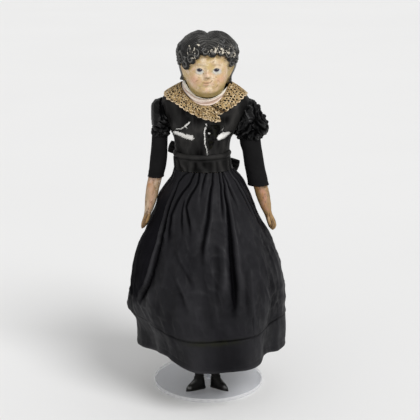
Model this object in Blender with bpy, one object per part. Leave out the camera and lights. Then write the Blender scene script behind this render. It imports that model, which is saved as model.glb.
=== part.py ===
"""Shoulder head doll on a clear round display stand.

Metres, +Z up, the doll faces -Y. The origin is the centre of the stand base's underside.
Right and left are the doll's own: its right side is at -X.
"""

import math

import bmesh
import bpy
from mathutils import Vector

MM = 0.001

# ---- driving dimensions, millimetres -------------------------------------------------
BASE_R = 76.2            # 6 inch acrylic disc
BASE_T = 5.0
BASE_BEVEL = 0.6
ROD_R = 2.4
ROD_TOP = 290.5
ROD_SEAT = 1.8           # the rod stands in a blind hole this far above the underside
CLIP_Z = (280.0, 287.0)
CLIP_T = 2.2
CLEAR = 0.3              # gap between pieces that touch
DOLL_Y = -34.0           # the doll's own axis stands in front of the rod
CLOTH = 1.4              # wall of a garment solid
SHELL = 3.0              # wall of the papier-mache shoulder head
HEAD_TOP = 495.5
WAIST_Z = (313.8, 329.6)
SEAM_Z = 111.0           # where the hem band is sewn to the skirt
HEM_Z = 69.5
SHOULDER_Z, SHOULDER_Y = 386.0, -32.0
ELBOW_Z = 316.0
HIP_Z, HIP_Y = 238.0, -38.0
KNEE_Z, KNEE_Y = 125.0, -40.0
BOOT_Z = 7.0             # underside of the boot soles, just off the disc

for old in list(bpy.data.objects):
    bpy.data.objects.remove(old)


# ---- materials -----------------------------------------------------------------------
def material(name, colour, rough, metal=0.0, clear=0.0):
    m = bpy.data.materials.new(name)
    m.use_nodes = True
    shader = next(n for n in m.node_tree.nodes if n.type == "BSDF_PRINCIPLED")
    shader.inputs["Base Color"].default_value = (*colour, 1)
    shader.inputs["Roughness"].default_value = rough
    shader.inputs["Metallic"].default_value = metal
    shader.inputs["Transmission Weight"].default_value = clear
    m.diffuse_color = (*colour, 1)
    return m


ACRYLIC = material("clear_acrylic", (0.92, 0.94, 0.96), 0.08, clear=1.0)
PAPIER = material("painted_papier_mache", (0.70, 0.52, 0.34), 0.45)
CANVAS = material("stuffed_linen", (0.62, 0.54, 0.42), 0.9)
COTTON = material("white_cotton", (0.82, 0.80, 0.75), 0.9)
SILK = material("black_silk", (0.018, 0.018, 0.020), 0.5)
KNIT = material("black_wool", (0.012, 0.012, 0.013), 0.85)
SATIN = material("ivory_satin", (0.78, 0.68, 0.60), 0.45)
LACE = material("ecru_lace", (0.58, 0.42, 0.23), 0.9)
LIMB = material("painted_wood", (0.55, 0.34, 0.18), 0.5)
STOCKING = material("black_stocking", (0.014, 0.014, 0.015), 0.9)
LEATHER = material("black_leather", (0.010, 0.010, 0.011), 0.4)


# ---- mesh helpers --------------------------------------------------------------------
def ellipse(cx, cy, z, a, b, n, start=0.0, stop=None):
    """Points of a level ellipse in millimetres. Angle 0 is the front, and it grows towards the doll's left."""
    full = stop is None
    stop = start + 2 * math.pi if full else stop
    count = n if full else n + 1
    points = []
    for i in range(count):
        t = start + (stop - start) * i / n
        points.append(Vector((cx + a * math.sin(t), cy - b * math.cos(t), z)))
    return points


def tilted(centre, along, a, b, n):
    """Points of an ellipse square to a direction: a across in X, b across in Y."""
    along = Vector(along).normalized()
    side = Vector((1, 0, 0))
    side = (side - along * side.dot(along)).normalized()
    other = along.cross(side)
    c = Vector(centre)
    return [
        c + side * (a * math.sin(2 * math.pi * i / n)) - other * (b * math.cos(2 * math.pi * i / n))
        for i in range(n)
    ]


holder = None            # the joint that the pieces being made belong to


def joint(name, x, y, z, parent=None):
    """An empty on a joint's axis. The pieces that turn about it are parented to it."""
    e = bpy.data.objects.new(name, None)
    e.empty_display_size = 0.01
    e["at"] = (x * MM, y * MM, z * MM)
    bpy.context.scene.collection.objects.link(e)
    e.parent = parent
    e.location = Vector(e["at"]) - (Vector(parent["at"]) if parent else Vector())
    return e


def finish(name, bm, mat, sharp=40):
    bmesh.ops.remove_doubles(bm, verts=bm.verts, dist=1e-7)
    bmesh.ops.recalc_face_normals(bm, faces=bm.faces)
    if holder:
        bmesh.ops.translate(bm, vec=-Vector(holder["at"]), verts=bm.verts)
    mesh = bpy.data.meshes.new(name)
    bm.to_mesh(mesh)
    bm.free()
    mesh.shade_smooth()
    mesh.set_sharp_from_angle(angle=math.radians(sharp))
    obj = bpy.data.objects.new(name, mesh)
    bpy.context.scene.collection.objects.link(obj)
    obj.parent = holder
    mesh.materials.append(mat)
    return obj


def skin(bm, rings, closed=True):
    """Quads between successive rings of points in millimetres. Returns the rings' vertices."""
    made = [[bm.verts.new(p * MM) for p in ring] for ring in rings]
    n = len(made[0])
    for lower, upper in zip(made, made[1:]):
        for i in range(n if closed else n - 1):
            j = (i + 1) % n
            bm.faces.new((lower[i], lower[j], upper[j], upper[i]))
    return made


def solid(name, rings, mat, sharp=40):
    """A closed lofted body: the first and last ring are capped."""
    bm = bmesh.new()
    made = skin(bm, rings)
    bm.faces.new(made[0])
    bm.faces.new(list(reversed(made[-1])))
    return finish(name, bm, mat, sharp)


def shell(name, outer, inner, mat, sharp=40, lid=False):
    """A lofted wall between two stacks of rings that start at the same end. With lid, that end is closed over."""
    bm = bmesh.new()
    a, b = skin(bm, outer), skin(bm, inner)
    n = len(a[0])
    for i in range(n):
        j = (i + 1) % n
        bm.faces.new((a[-1][i], a[-1][j], b[-1][j], b[-1][i]))
        if not lid:
            bm.faces.new((a[0][j], a[0][i], b[0][i], b[0][j]))
    if lid:
        bm.faces.new(a[0])
        bm.faces.new(list(reversed(b[0])))
    return finish(name, bm, mat, sharp)


def panel(name, outer, inner, mat, sharp=40):
    """A sewn panel: a sector of a lofted wall, closed along its four edges."""
    bm = bmesh.new()
    a, b = skin(bm, outer, False), skin(bm, inner, False)
    last = len(a[0]) - 1
    for k in (0, -1):
        for i in range(last):
            bm.faces.new((a[k][i], a[k][i + 1], b[k][i + 1], b[k][i]))
    for i in (0, last):
        for k in range(len(a) - 1):
            bm.faces.new((a[k][i], a[k + 1][i], b[k + 1][i], b[k][i]))
    return finish(name, bm, mat, sharp)


def rings_of(rows, n, shrink=0.0, start=0.0, stop=None):
    """Level ellipses from rows of (z, centre x, centre y, half width, half depth)."""
    return [ellipse(cx, cy, z, a - shrink, b - shrink, n, start, stop) for z, cx, cy, a, b in rows]


def at(rows, z):
    """The row at height z, read between the two rows around it."""
    rows = sorted(rows)
    if z <= rows[0][0]:
        return (z, *rows[0][1:])
    for low, high in zip(rows, rows[1:]):
        if low[0] <= z <= high[0]:
            t = (z - low[0]) / (high[0] - low[0])
            return (z, *(p + (q - p) * t for p, q in zip(low[1:], high[1:])))
    return (z, *rows[-1][1:])


def span(rows, zs):
    return [at(rows, z) for z in zs]


# ---- display stand -------------------------------------------------------------------
bm = bmesh.new()
profile = [
    (BASE_R - BASE_BEVEL, 0.0),
    (BASE_R, BASE_BEVEL),
    (BASE_R, BASE_T - BASE_BEVEL),
    (BASE_R - BASE_BEVEL, BASE_T),
    (ROD_R + CLEAR, BASE_T),
    (ROD_R + CLEAR, ROD_SEAT - CLEAR),
]
made = skin(bm, [ellipse(0, 0, z, r, r, 48) for r, z in profile])
bm.faces.new(made[0])
bm.faces.new(list(reversed(made[-1])))
finish("stand_base", bm, ACRYLIC, 30)

solid(
    "stand_rod",
    [
        ellipse(0, 0, z, r, r, 16)
        for z, r in ((ROD_SEAT, ROD_R), (ROD_TOP - 1, ROD_R), (ROD_TOP - 0.3, ROD_R - 0.5), (ROD_TOP, ROD_R - 1.2))
    ],
    ACRYLIC,
)
collar = [(CLIP_Z[0] - 3, 0, 0, 5.2, 5.2), (CLIP_Z[1] + 2, 0, 0, 5.2, 5.2)]
bore = [(CLIP_Z[0] - 3, 0, 0, ROD_R + CLEAR, ROD_R + CLEAR), (CLIP_Z[1] + 2, 0, 0, ROD_R + CLEAR, ROD_R + CLEAR)]
shell("stand_clip_collar", rings_of(collar, 20), rings_of(bore, 20), ACRYLIC, 30)

# The waist clip: a strip bent to a U around the doll's waist, open at the front.
CLIP_CX, CLIP_A, CLIP_B = -4.0, 37.2, 27.0
line = [(CLIP_CX + CLIP_A, DOLL_Y - 18), (CLIP_CX + CLIP_A, DOLL_Y - 9)]
for i in range(21):
    t = math.pi * i / 20
    line.append((CLIP_CX + CLIP_A * math.cos(t), DOLL_Y + CLIP_B * math.sin(t)))
line += [(CLIP_CX - CLIP_A, DOLL_Y - 9), (CLIP_CX - CLIP_A, DOLL_Y - 18)]
strip = []
for i, (x, y) in enumerate(line):
    x0, y0 = line[max(i - 1, 0)]
    x1, y1 = line[min(i + 1, len(line) - 1)]
    d = Vector((x1 - x0, y1 - y0)).normalized()
    nx, ny = d.y * CLIP_T / 2, -d.x * CLIP_T / 2
    strip.append(
        [
            Vector((x + nx, y + ny, CLIP_Z[0])),
            Vector((x + nx, y + ny, CLIP_Z[1])),
            Vector((x - nx, y - ny, CLIP_Z[1])),
            Vector((x - nx, y - ny, CLIP_Z[0])),
        ]
    )
solid("stand_waist_clip", strip, ACRYLIC)

# ---- body ----------------------------------------------------------------------------
doll = holder = joint("lift_off", 0, DOLL_Y, 0)

# Rows are (z, centre x, centre y, half width, half depth).
BODICE = [
    (316.5, -7.0, DOLL_Y, 35.8, 28.9),
    (326.0, -8.0, DOLL_Y, 35.2, 28.5),
    (335.0, -8.0, DOLL_Y, 35.4, 28.7),
    (350.0, -7.6, DOLL_Y, 36.2, 30.2),
    (360.0, -7.0, DOLL_Y, 38.0, 31.0),
    (368.0, -6.6, DOLL_Y, 41.2, 31.5),
    (378.0, -6.2, DOLL_Y, 42.8, 31.2),
    (390.0, -5.4, DOLL_Y, 42.6, 30.4),
    (400.0, -4.6, DOLL_Y, 40.6, 28.6),
    (406.0, -4.2, DOLL_Y, 36.4, 26.4),
    (410.0, -3.8, DOLL_Y, 31.0, 24.0),
]


def inside(rows, by):
    return [(z, cx, cy, a - by, b - by) for z, cx, cy, a, b in rows]


PLATE = inside(BODICE, CLOTH + 0.5)
TORSO = inside(span(BODICE, (316.5, 326, 335, 350, 360)), 2 * CLOTH + 1.2)
solid(
    "torso",
    rings_of(
        [
            (250.5, -5.0, DOLL_Y, 26.0, 17.0),
            (256.0, -5.0, DOLL_Y, 31.5, 21.5),
            (270.0, -4.8, DOLL_Y, 33.0, 24.2),
            (286.0, -5.0, DOLL_Y, 32.4, 24.2),
            (302.0, -6.0, DOLL_Y, 32.0, 24.4),
            *TORSO,
            (367.0, -6.8, DOLL_Y, 34.6, 25.6),
            (384.0, -6.0, DOLL_Y, 36.0, 25.2),
            (396.0, -5.0, DOLL_Y, 33.0, 21.6),
            (400.0, -4.8, DOLL_Y, 24.0, 15.0),
        ],
        24,
    ),
    CANVAS,
)

# One casting: head, neck and shoulder plate, hollow and open underneath.
HEAD = [
    (411.2, -2.2, DOLL_Y, 18.0, 18.4),
    (413.4, -2.0, -41.0, 16.5, 21.0),
    (416.0, -2.0, -43.5, 19.0, 26.0),
    (421.0, -1.9, -44.0, 23.4, 29.8),
    (430.0, -1.6, -44.6, 28.4, 31.4),
    (440.0, -1.3, -41.0, 32.0, 36.5),
    (452.0, -1.2, -37.6, 36.0, 40.0),
    (462.0, -1.0, -35.4, 39.4, 41.6),
    (470.0, -1.0, -34.5, 39.8, 41.5),
    (480.0, -1.0, -34.0, 37.2, 38.4),
    (487.0, -1.0, -34.0, 32.0, 32.6),
    (492.0, -1.0, -34.0, 24.0, 24.6),
    (HEAD_TOP, -1.0, -34.0, 10.0, 10.0),
]
# The face is set back between the moulded side curls, and the nose and chin stand out of it.
FACE_BACK = {421.0: 0.4, 430.0: 1.2, 440.0: 2.0, 446.0: 2.4, 452.0: 2.8, 462.0: 2.4, 470.0: 0.8}
NOSE_OUT = {440.0: 3.6, 446.0: 3.0, 452.0: 1.0}
HEAD.append((446.0, -1.2, -39.2, 34.0, 38.4))
HEAD.sort()


def carved(ring, z):
    for i, p in enumerate(ring):
        t = min(i, len(ring) - i) * 2 * math.pi / len(ring)
        p.y += FACE_BACK.get(z, 0.0) * max(0.0, math.cos(t * 1.7)) if t < 0.92 else 0.0
        p.y -= NOSE_OUT.get(z, 0.0) if t < 0.01 else 0.0
    return ring


plate_rows = span(PLATE, (370.0, 378.0, 390.0, 400.0, 406.0, 409.0))
head_rows = list(reversed(plate_rows + HEAD))
head_out = [carved(ring, row[0]) for ring, row in zip(rings_of(head_rows, 28), head_rows)]
head_in = rings_of(
    list(reversed(inside(plate_rows + [r for r in HEAD[:-2] if r[0] != 446.0], SHELL + 0.6) + [(490.0, -1.0, -34.0, 14.0, 14.0)])), 28
)
shell("shoulder_head", head_out, head_in, PAPIER, 50, lid=True)

# ---- clothes on the body -------------------------------------------------------------
chemise = inside(span(BODICE, (317.5, 326, 335, 350, 360, 366.5)), CLOTH + 0.5)
shell("chemise", rings_of(chemise, 24), rings_of(chemise, 24, CLOTH - 0.2), COTTON)

front_gap = 1.4 / 36.0
side = math.radians(92)
rows = span(BODICE, (316.5, 335, 350, 360, 368, 378, 390, 400, 406, 410))
for name, start, stop, n in (
    ("bodice_left_front", front_gap / 2, side, 8),
    ("bodice_right_front", 2 * math.pi - side, 2 * math.pi - front_gap / 2, 8),
    ("bodice_back", side + 0.012, 2 * math.pi - side - 0.012, 14),
):
    panel(name, rings_of(rows, n, 0, start, stop), rings_of(rows, n, CLOTH, start, stop), SILK)

band = [(z, cx, cy, a + 2.5, b + 2.5) for z, cx, cy, a, b in span(BODICE, (WAIST_Z[0], 321.0, WAIST_Z[1]))]
shell("waistband", rings_of(band, 36), rings_of(band, 36, 1.6), SILK)

SKIRT = [
    (313.4, -5.5, DOLL_Y, 39.5, 32.0),
    (302.0, -2.5, DOLL_Y, 48.0, 41.0),
    (291.4, -3.0, DOLL_Y, 54.5, 48.0),
    (280.5, -4.0, DOLL_Y, 60.5, 54.5),
    (258.6, -3.0, DOLL_Y, 68.5, 66.0),
    (231.0, -3.2, DOLL_Y, 82.0, 80.0),
    (208.6, -3.0, DOLL_Y, 91.0, 89.0),
    (186.0, -3.0, DOLL_Y, 97.6, 96.0),
    (157.7, -2.6, DOLL_Y, 102.6, 101.0),
    (129.0, -2.6, DOLL_Y, 105.6, 104.0),
    (SEAM_Z + 0.4, -1.6, DOLL_Y, 106.0, 104.6),
]
quarter = math.pi / 4
seam = 0.004
for name, middle in (
    ("skirt_front_breadth", 0.0),
    ("skirt_left_breadth", math.pi / 2),
    ("skirt_back_breadth", math.pi),
    ("skirt_right_breadth", 3 * math.pi / 2),
):
    a0, a1 = middle - quarter + seam, middle + quarter - seam
    panel(name, rings_of(SKIRT, 8, 0, a0, a1), rings_of(SKIRT, 8, CLOTH, a0, a1), SILK)
hem = [(SEAM_Z, -1.6, DOLL_Y, 106.0, 104.6), (90.0, 0.4, DOLL_Y, 104.6, 104.8), (HEM_Z, 1.2, DOLL_Y, 103.4, 104.6)]
shell("skirt_hem_band", rings_of(hem, 32), rings_of(hem, 32, CLOTH), SILK)

petticoat = [(311.0, *at(SKIRT, 311.0)[1:])] + [row for row in SKIRT[1:-1] if row[0] != 291.4]
petticoat = inside(petticoat, CLOTH + 1.4) + [(88.0, 0.0, DOLL_Y, 101.0, 101.2)]
shell("petticoat", rings_of(petticoat, 32), rings_of(petticoat, 32, 1.2), COTTON)

# Neck band and lace collar. Their edges run low at the throat and high at the sides of the neck.
def drape(cx, a, front, back, z_front, z_side, z_back, n, grow=0.0, start=0.0, stop=None):
    """A closed or open line round the neck: half width a, depth front and back, and a height for each quarter."""
    mid = (z_front + z_back) / 2
    level, lift = (mid + z_side) / 2, (mid - z_side) / 2
    lean = (z_back - z_front) / 2
    count = n if stop is None else n + 1
    stop = start + 2 * math.pi if stop is None else stop
    points = []
    for i in range(count):
        t = start + (stop - start) * i / n
        depth = (front if math.cos(t) > 0 else back) + grow
        points.append(
            Vector((cx + (a + grow) * math.sin(t), DOLL_Y - depth * math.cos(t), level - lean * math.cos(t) + lift * math.cos(2 * t)))
        )
    return points


neck_edge = [(-2.4, 33.0, 30.0, 25.0, 410.4, 432.0, 428.0), (-2.8, 33.6, 30.8, 26.2, 406.0, 427.6, 423.4), (-3.2, 34.2, 31.6, 27.4, 401.8, 423.0, 418.6)]
shell("neckcloth", [drape(*e, 28) for e in neck_edge], [drape(*e, 28, -1.2) for e in neck_edge], SATIN)

g0 = math.radians(14)
g1 = g0 + 2 * math.pi - 0.06
lace_edge = [(-3.2, 36.4, 33.8, 29.6, 401.6, 422.6, 418.6), (-3.3, 42.6, 34.8, 33.0, 396.0, 420.2, 411.6), (-3.4, 48.8, 35.6, 36.0, 389.8, 416.8, 404.6), (-3.4, 54.4, 36.4, 38.0, 383.4, 412.0, 398.0)]
panel("lace_collar", [drape(*e, 28, 0.0, g0, g1) for e in lace_edge], [drape(*e, 28, -1.2, g0, g1) for e in lace_edge], LACE)

# Sash tied in a bow at the back of the waist.
BOW_Y = 1.4


def pad(name, points, mat):
    """A soft flat pad lofted along a line of (x, y, z, half height, half thickness)."""
    rings = []
    for i, (x, y, z, hh, ht) in enumerate(points):
        x0, y0, z0 = points[max(i - 1, 0)][:3]
        x1, y1, z1 = points[min(i + 1, len(points) - 1)][:3]
        d = Vector((x1 - x0, y1 - y0, z1 - z0)).normalized()
        thick = Vector((0, 1, 0))
        thick = (thick - d * thick.dot(d)).normalized()
        tall = d.cross(thick)
        rings.append(
            [
                Vector((x, y, z)) + tall * (hh * math.sin(2 * math.pi * k / 12)) + thick * (ht * math.cos(2 * math.pi * k / 12))
                for k in range(12)
            ]
        )
    solid(name, rings, mat, 60)


pad("sash_knot", [(-11.0, 3.4, 323, 4.0, 2.2), (-9.5, 3.8, 323, 6.4, 3.2), (-4.5, 3.8, 323, 6.4, 3.2), (-3.0, 3.4, 323, 4.0, 2.2)], SILK)
pad("sash_loop_right", [(-13.6, 4.6, 324, 3.6, 2.0), (-21, 6.4, 329, 8.6, 3.6), (-34, 6.8, 338, 10.4, 4.2), (-43, 6.4, 344, 8.8, 3.2), (-46.4, 6.0, 346, 4.4, 1.6)], SILK)
pad("sash_loop_left", [(-2.0, 4.6, 323, 3.6, 2.0), (6, 6.4, 324, 8.0, 3.6), (20, 6.8, 323.5, 9.6, 4.0), (31, 6.4, 321.5, 8.0, 3.2), (35.4, 6.0, 320.5, 4.0, 1.6)], SILK)
pad("sash_tail_right", [(-11.5, 2.4, 315.4, 3.0, 1.1), (-13, 5.6, 309, 4.6, 1.2), (-16.5, 14.2, 296, 8.4, 1.2), (-21, 31.0, 266, 9.6, 1.2), (-25, 43.8, 240, 10.5, 1.0)], SILK)
pad("sash_tail_left", [(1.5, 2.4, 315.4, 3.0, 1.1), (3.5, 5.6, 309, 4.6, 1.2), (7.5, 14.2, 296, 8.4, 1.2), (13, 31.0, 266, 9.6, 1.2), (17, 41.4, 245, 10.5, 1.0)], SILK)


# ---- arms ----------------------------------------------------------------------------
def along_path(points, n):
    """Rings square to a path of (x, y, z, half width, half depth)."""
    rings = []
    for i, (x, y, z, a, b) in enumerate(points):
        x0, y0, z0 = points[max(i - 1, 0)][:3]
        x1, y1, z1 = points[min(i + 1, len(points) - 1)][:3]
        rings.append(tilted((x, y, z), (x1 - x0, y1 - y0, z1 - z0), a, b, n))
    return rings


AY = SHOULDER_Y
ARMS = {
    # upper arm, puff, sleeve, cuff and forearm rows
    "right": {
        "upper": [(-61.4, AY, 397.0, 3.0, 4.0), (-61.6, AY, 394.6, 6.0, 8.0), (-61.8, AY, 385.0, 8.8, 10.0), (-62.6, AY, 360.0, 9.2, 10.0), (-64.8, AY, 338.0, 9.2, 9.4), (-66.2, AY, 327.0, 8.6, 8.8)],
        "puff": [(408.0, -61.2, AY, 3.0, 5.0), (405.5, -61.6, AY, 7.0, 11.0), (398.0, -62.6, AY, 11.4, 17.0), (386.0, -63.0, AY, 12.4, 19.6), (374.0, -63.0, AY, 12.2, 19.0), (364.0, -62.4, AY, 11.8, 16.0), (360.6, -62.4, AY, 11.6, 13.6)],
        "sleeve": [(360.0, -62.2, AY, 11.6, 12.6), (345.0, -63.4, AY, 12.0, 12.8), (322.6, -66.4, AY, 11.8, 12.4)],
        "cuff": [(313.8, -67.6, AY, 11.6, 12.2), (304.6, -69.6, AY, 11.2, 11.8)],
        "fore": [(-66.8, AY, 323.6, 3.0, 3.0), (-67.0, AY, 321.5, 6.2, 6.4), (-67.6, AY, 316.0, 7.6, 8.0), (-70.0, AY, 304.0, 8.4, 8.8), (-74.0, AY, 286.0, 8.6, 8.4), (-76.6, AY, 270.0, 7.2, 7.4), (-79.0, AY, 257.0, 5.4, 5.8), (-81.4, AY, 250.0, 5.0, 6.4), (-85.0, AY - 1, 242.0, 4.4, 7.2), (-88.0, AY - 2, 236.0, 2.6, 5.4), (-89.6, AY - 2.4, 233.6, 0.9, 2.2)],
    },
    "left": {
        "upper": [(51.4, AY, 392.0, 3.0, 4.0), (51.6, AY, 389.6, 6.0, 8.0), (52.2, AY, 381.0, 8.6, 10.0), (54.4, AY, 360.0, 9.4, 10.0), (58.4, AY, 338.0, 9.4, 9.4), (60.8, AY, 327.0, 8.8, 8.8)],
        "puff": [(407.0, 54.0, AY, 4.0, 6.0), (404.0, 55.2, AY, 9.0, 12.0), (396.0, 57.2, AY, 14.6, 18.0), (384.0, 58.2, AY, 18.4, 20.6), (372.0, 58.6, AY, 19.4, 20.2), (362.0, 57.0, AY, 17.6, 17.4), (356.6, 55.6, AY, 14.6, 14.6)],
        "sleeve": [(356.0, 54.2, AY, 13.4, 13.2), (340.0, 57.4, AY, 13.0, 13.0), (322.6, 60.6, AY, 12.8, 12.8)],
        "cuff": [(313.6, 62.2, AY, 12.8, 12.6), (293.6, 66.0, AY, 13.4, 12.8)],
        "fore": [(62.0, AY, 323.6, 3.0, 3.0), (62.2, AY, 321.5, 6.2, 6.4), (62.8, AY, 316.0, 7.8, 8.0), (66.0, AY, 302.0, 9.0, 9.0), (71.6, AY, 282.0, 8.8, 8.6), (75.4, AY, 269.0, 7.8, 7.6), (78.6, AY, 257.0, 5.6, 5.8), (80.6, AY, 251.0, 4.9, 5.4), (83.4, AY, 244.0, 5.2, 6.6), (85.4, AY - 1, 237.5, 4.8, 6.0), (85.8, AY - 1.4, 233.0, 3.0, 4.0), (85.8, AY - 1.6, 231.2, 1.0, 1.6)],
    },
}
SHOULDER_X = {"right": -61.8, "left": 52.2}
ELBOW_X = {"right": -67.6, "left": 62.8}
for hand, arm in ARMS.items():
    shoulder = holder = joint(f"{hand}_shoulder", SHOULDER_X[hand], SHOULDER_Y, SHOULDER_Z, doll)
    solid(f"upper_arm_{hand}", along_path(arm["upper"], 16), CANVAS, 60)
    puff = arm["puff"]
    lidded = [(z - 1.6, cx, cy, a * 0.6, b * 0.6) if i == 0 else (z - (0.8 if i == 1 else 0), cx, cy, a - 1.3, b - 1.3) for i, (z, cx, cy, a, b) in enumerate(puff)]
    shell(f"sleeve_puff_{hand}", rings_of(puff, 20), rings_of(lidded, 20), SILK, 60, lid=True)
    shell(f"sleeve_{hand}", rings_of(arm["sleeve"], 20), rings_of(arm["sleeve"], 20, 1.2), KNIT)
    holder = joint(f"{hand}_elbow", ELBOW_X[hand], SHOULDER_Y, ELBOW_Z, shoulder)
    shell(f"sleeve_cuff_{hand}", rings_of(arm["cuff"], 20), rings_of(arm["cuff"], 20, 1.0), KNIT)
    solid(f"forearm_{hand}", along_path(arm["fore"], 16), LIMB, 60)

# ---- legs ----------------------------------------------------------------------------
LEGS = {
    # centre x at hip, knee and ankle; boot heel and toe on the disc
    "right": {"hip": -23.0, "knee": -17.5, "ankle": (-12.8, -45.0), "heel": (-8.6, -43.4), "toe": (-28.6, -55.6)},
    "left": {"hip": 11.5, "knee": 13.6, "ankle": (10.2, -41.0), "heel": (8.2, -39.6), "toe": (24.4, -53.4)},
}
for leg, d in LEGS.items():
    xh, xk = d["hip"], d["knee"]
    ax, ay = d["ankle"]
    hip = holder = joint(f"{leg}_hip", xh, HIP_Y, HIP_Z, doll)
    solid(
        f"upper_leg_{leg}",
        rings_of(
            [
                (249.4, xh, HIP_Y, 4.5, 3.6),
                (247.2, xh, HIP_Y, 9.4, 7.6),
                (243.0, xh, HIP_Y, 12.0, 10.6),
                (236.0, xh, HIP_Y, 12.8, 11.6),
                (215.0, xh * 0.8 + xk * 0.2, HIP_Y - 0.4, 12.4, 13.0),
                (180.0, xh * 0.45 + xk * 0.55, HIP_Y - 1.0, 11.0, 12.0),
                (150.0, xh * 0.2 + xk * 0.8, KNEE_Y, 9.4, 10.4),
                (134.4, xk, KNEE_Y, 8.6, 9.4),
            ],
            16,
        ),
        CANVAS,
        60,
    )
    holder = joint(f"{leg}_knee", xk, KNEE_Y, KNEE_Z, hip)
    solid(
        f"lower_leg_{leg}",
        rings_of(
            [
                (133.2, xk, KNEE_Y, 3.0, 3.0),
                (131.6, xk, KNEE_Y, 6.0, 6.2),
                (127.0, xk, KNEE_Y, 7.8, 8.2),
                (112.0, xk * 0.9 + ax * 0.1, KNEE_Y, 8.2, 9.2),
                (90.0, xk * 0.7 + ax * 0.3, KNEE_Y * 0.8 + ay * 0.2, 8.0, 9.0),
                (66.0, xk * 0.4 + ax * 0.6, KNEE_Y * 0.5 + ay * 0.5, 6.8, 7.4),
                (46.6, ax, ay, 5.6, 5.8),
            ],
            16,
        ),
        STOCKING,
        60,
    )
    hx, hy = d["heel"]
    tx, ty = d["toe"]
    length = math.hypot(tx - hx, ty - hy)
    fx, fy = (tx - hx) / length, (ty - hy) / length
    sole_t = 1.6

    def outline(widen, back, n=20):
        """The sole's plan: a pointed oval from just behind the heel to the toe."""
        points = []
        for i in range(n):
            t = 2 * math.pi * i / n
            s = -back + (length + back) * (0.5 - 0.5 * math.cos(t))
            u = max(0.0, (s + back) / (length + back))
            w = widen * (math.sin(math.pi * u) ** 0.62) * (1.0 + 0.12 * math.sin(2 * math.pi * (u - 0.1)))
            w = max(w, 0.0) if 0 < i < n / 2 or i > n / 2 else 0.0
            q = w if i < n / 2 else -w
            points.append((hx + fx * s - fy * q, hy + fy * s + fx * q))
        return points

    plan = outline(5.4, 6.0)
    solid(
        f"boot_sole_{leg}",
        [[Vector((x, y, BOOT_Z)) for x, y in plan], [Vector((x, y, BOOT_Z + sole_t)) for x, y in plan]],
        LEATHER,
        30,
    )
    # The boot upper rises from the sole's plan to the ankle and the shaft.
    centre = Vector((hx + fx * 8, hy + fy * 8))
    rings = []
    top = BOOT_Z + sole_t + CLEAR
    shaft = [(46.2, 5.9, 6.1), (36.0, 5.4, 5.7), (26.0, 5.6, 6.2)]
    base_plan = outline(5.2, 5.8)
    for z, keep in ((top, 1.0), (top + 4.0, 0.98), (top + 8.0, 0.80)):
        ring = []
        for x, y in base_plan:
            s = (x - hx) * fx + (y - hy) * fy
            low = max(0.0, s - 9.0) / max(length - 9.0, 1)
            shrink = keep if z > top + 1 else 1.0
            cut = 1.0 - 0.55 * low * (z - top) / 8.0
            ring.append(Vector((ax + (x - ax) * (shrink * cut + (1 - cut) * 0.35), ay + (y - ay) * (shrink * cut + (1 - cut) * 0.35), z)))
        rings.append(ring)
    n = len(base_plan)
    heading = math.atan2(base_plan[0][1] - ay, base_plan[0][0] - ax)
    for z, a, b in reversed(shaft):
        rings.append(
            [
                Vector((ax + a * math.cos(heading - 2 * math.pi * i / n), ay + b * math.sin(heading - 2 * math.pi * i / n), z))
                for i in range(n)
            ]
        )
    solid(f"boot_{leg}", rings, LEATHER, 60)
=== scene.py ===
"""Looks of the shoulder head doll: papier-mache head, silk dress, lace collar, painted limbs and clear stand.

Lengths below are millimetres in the row frame, right and left are the doll's own (right is at -X).
"""

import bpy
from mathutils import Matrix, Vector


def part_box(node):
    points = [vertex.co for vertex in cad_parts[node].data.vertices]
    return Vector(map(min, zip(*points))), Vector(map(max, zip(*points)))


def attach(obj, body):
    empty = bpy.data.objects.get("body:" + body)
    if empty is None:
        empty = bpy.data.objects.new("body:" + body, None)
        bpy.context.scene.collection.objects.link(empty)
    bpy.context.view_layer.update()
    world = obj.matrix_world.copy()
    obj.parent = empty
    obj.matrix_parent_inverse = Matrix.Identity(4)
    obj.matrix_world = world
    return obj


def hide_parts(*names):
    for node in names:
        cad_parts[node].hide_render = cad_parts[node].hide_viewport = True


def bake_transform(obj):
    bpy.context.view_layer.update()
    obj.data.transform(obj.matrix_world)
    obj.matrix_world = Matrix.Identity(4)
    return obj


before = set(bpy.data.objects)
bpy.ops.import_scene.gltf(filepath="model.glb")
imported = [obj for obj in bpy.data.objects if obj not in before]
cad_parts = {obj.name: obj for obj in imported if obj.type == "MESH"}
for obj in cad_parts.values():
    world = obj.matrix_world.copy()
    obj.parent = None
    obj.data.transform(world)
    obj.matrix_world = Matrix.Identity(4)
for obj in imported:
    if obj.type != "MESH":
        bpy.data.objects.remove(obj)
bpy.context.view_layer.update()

import math

import bpy
import numpy as np
from mathutils import Vector

MM = 0.001
TAU = 2 * math.pi
DOLL_Y = -34.0


# ---- small mathematics ---------------------------------------------------------------
def step(x, a, b):
    """0 before a, 1 after b, smooth between."""
    t = np.clip((np.asarray(x, float) - a) / (b - a), 0, 1)
    return t * t * (3 - 2 * t)


def hump(x, width):
    return np.exp(-((np.asarray(x, float) / width) ** 2))


def bell(deg, at, left, right):
    """A bump about an angle, in degrees."""
    d = (deg - at + 180) % 360 - 180
    return np.exp(-((d / np.where(d < 0, left, right)) ** 2))


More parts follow.
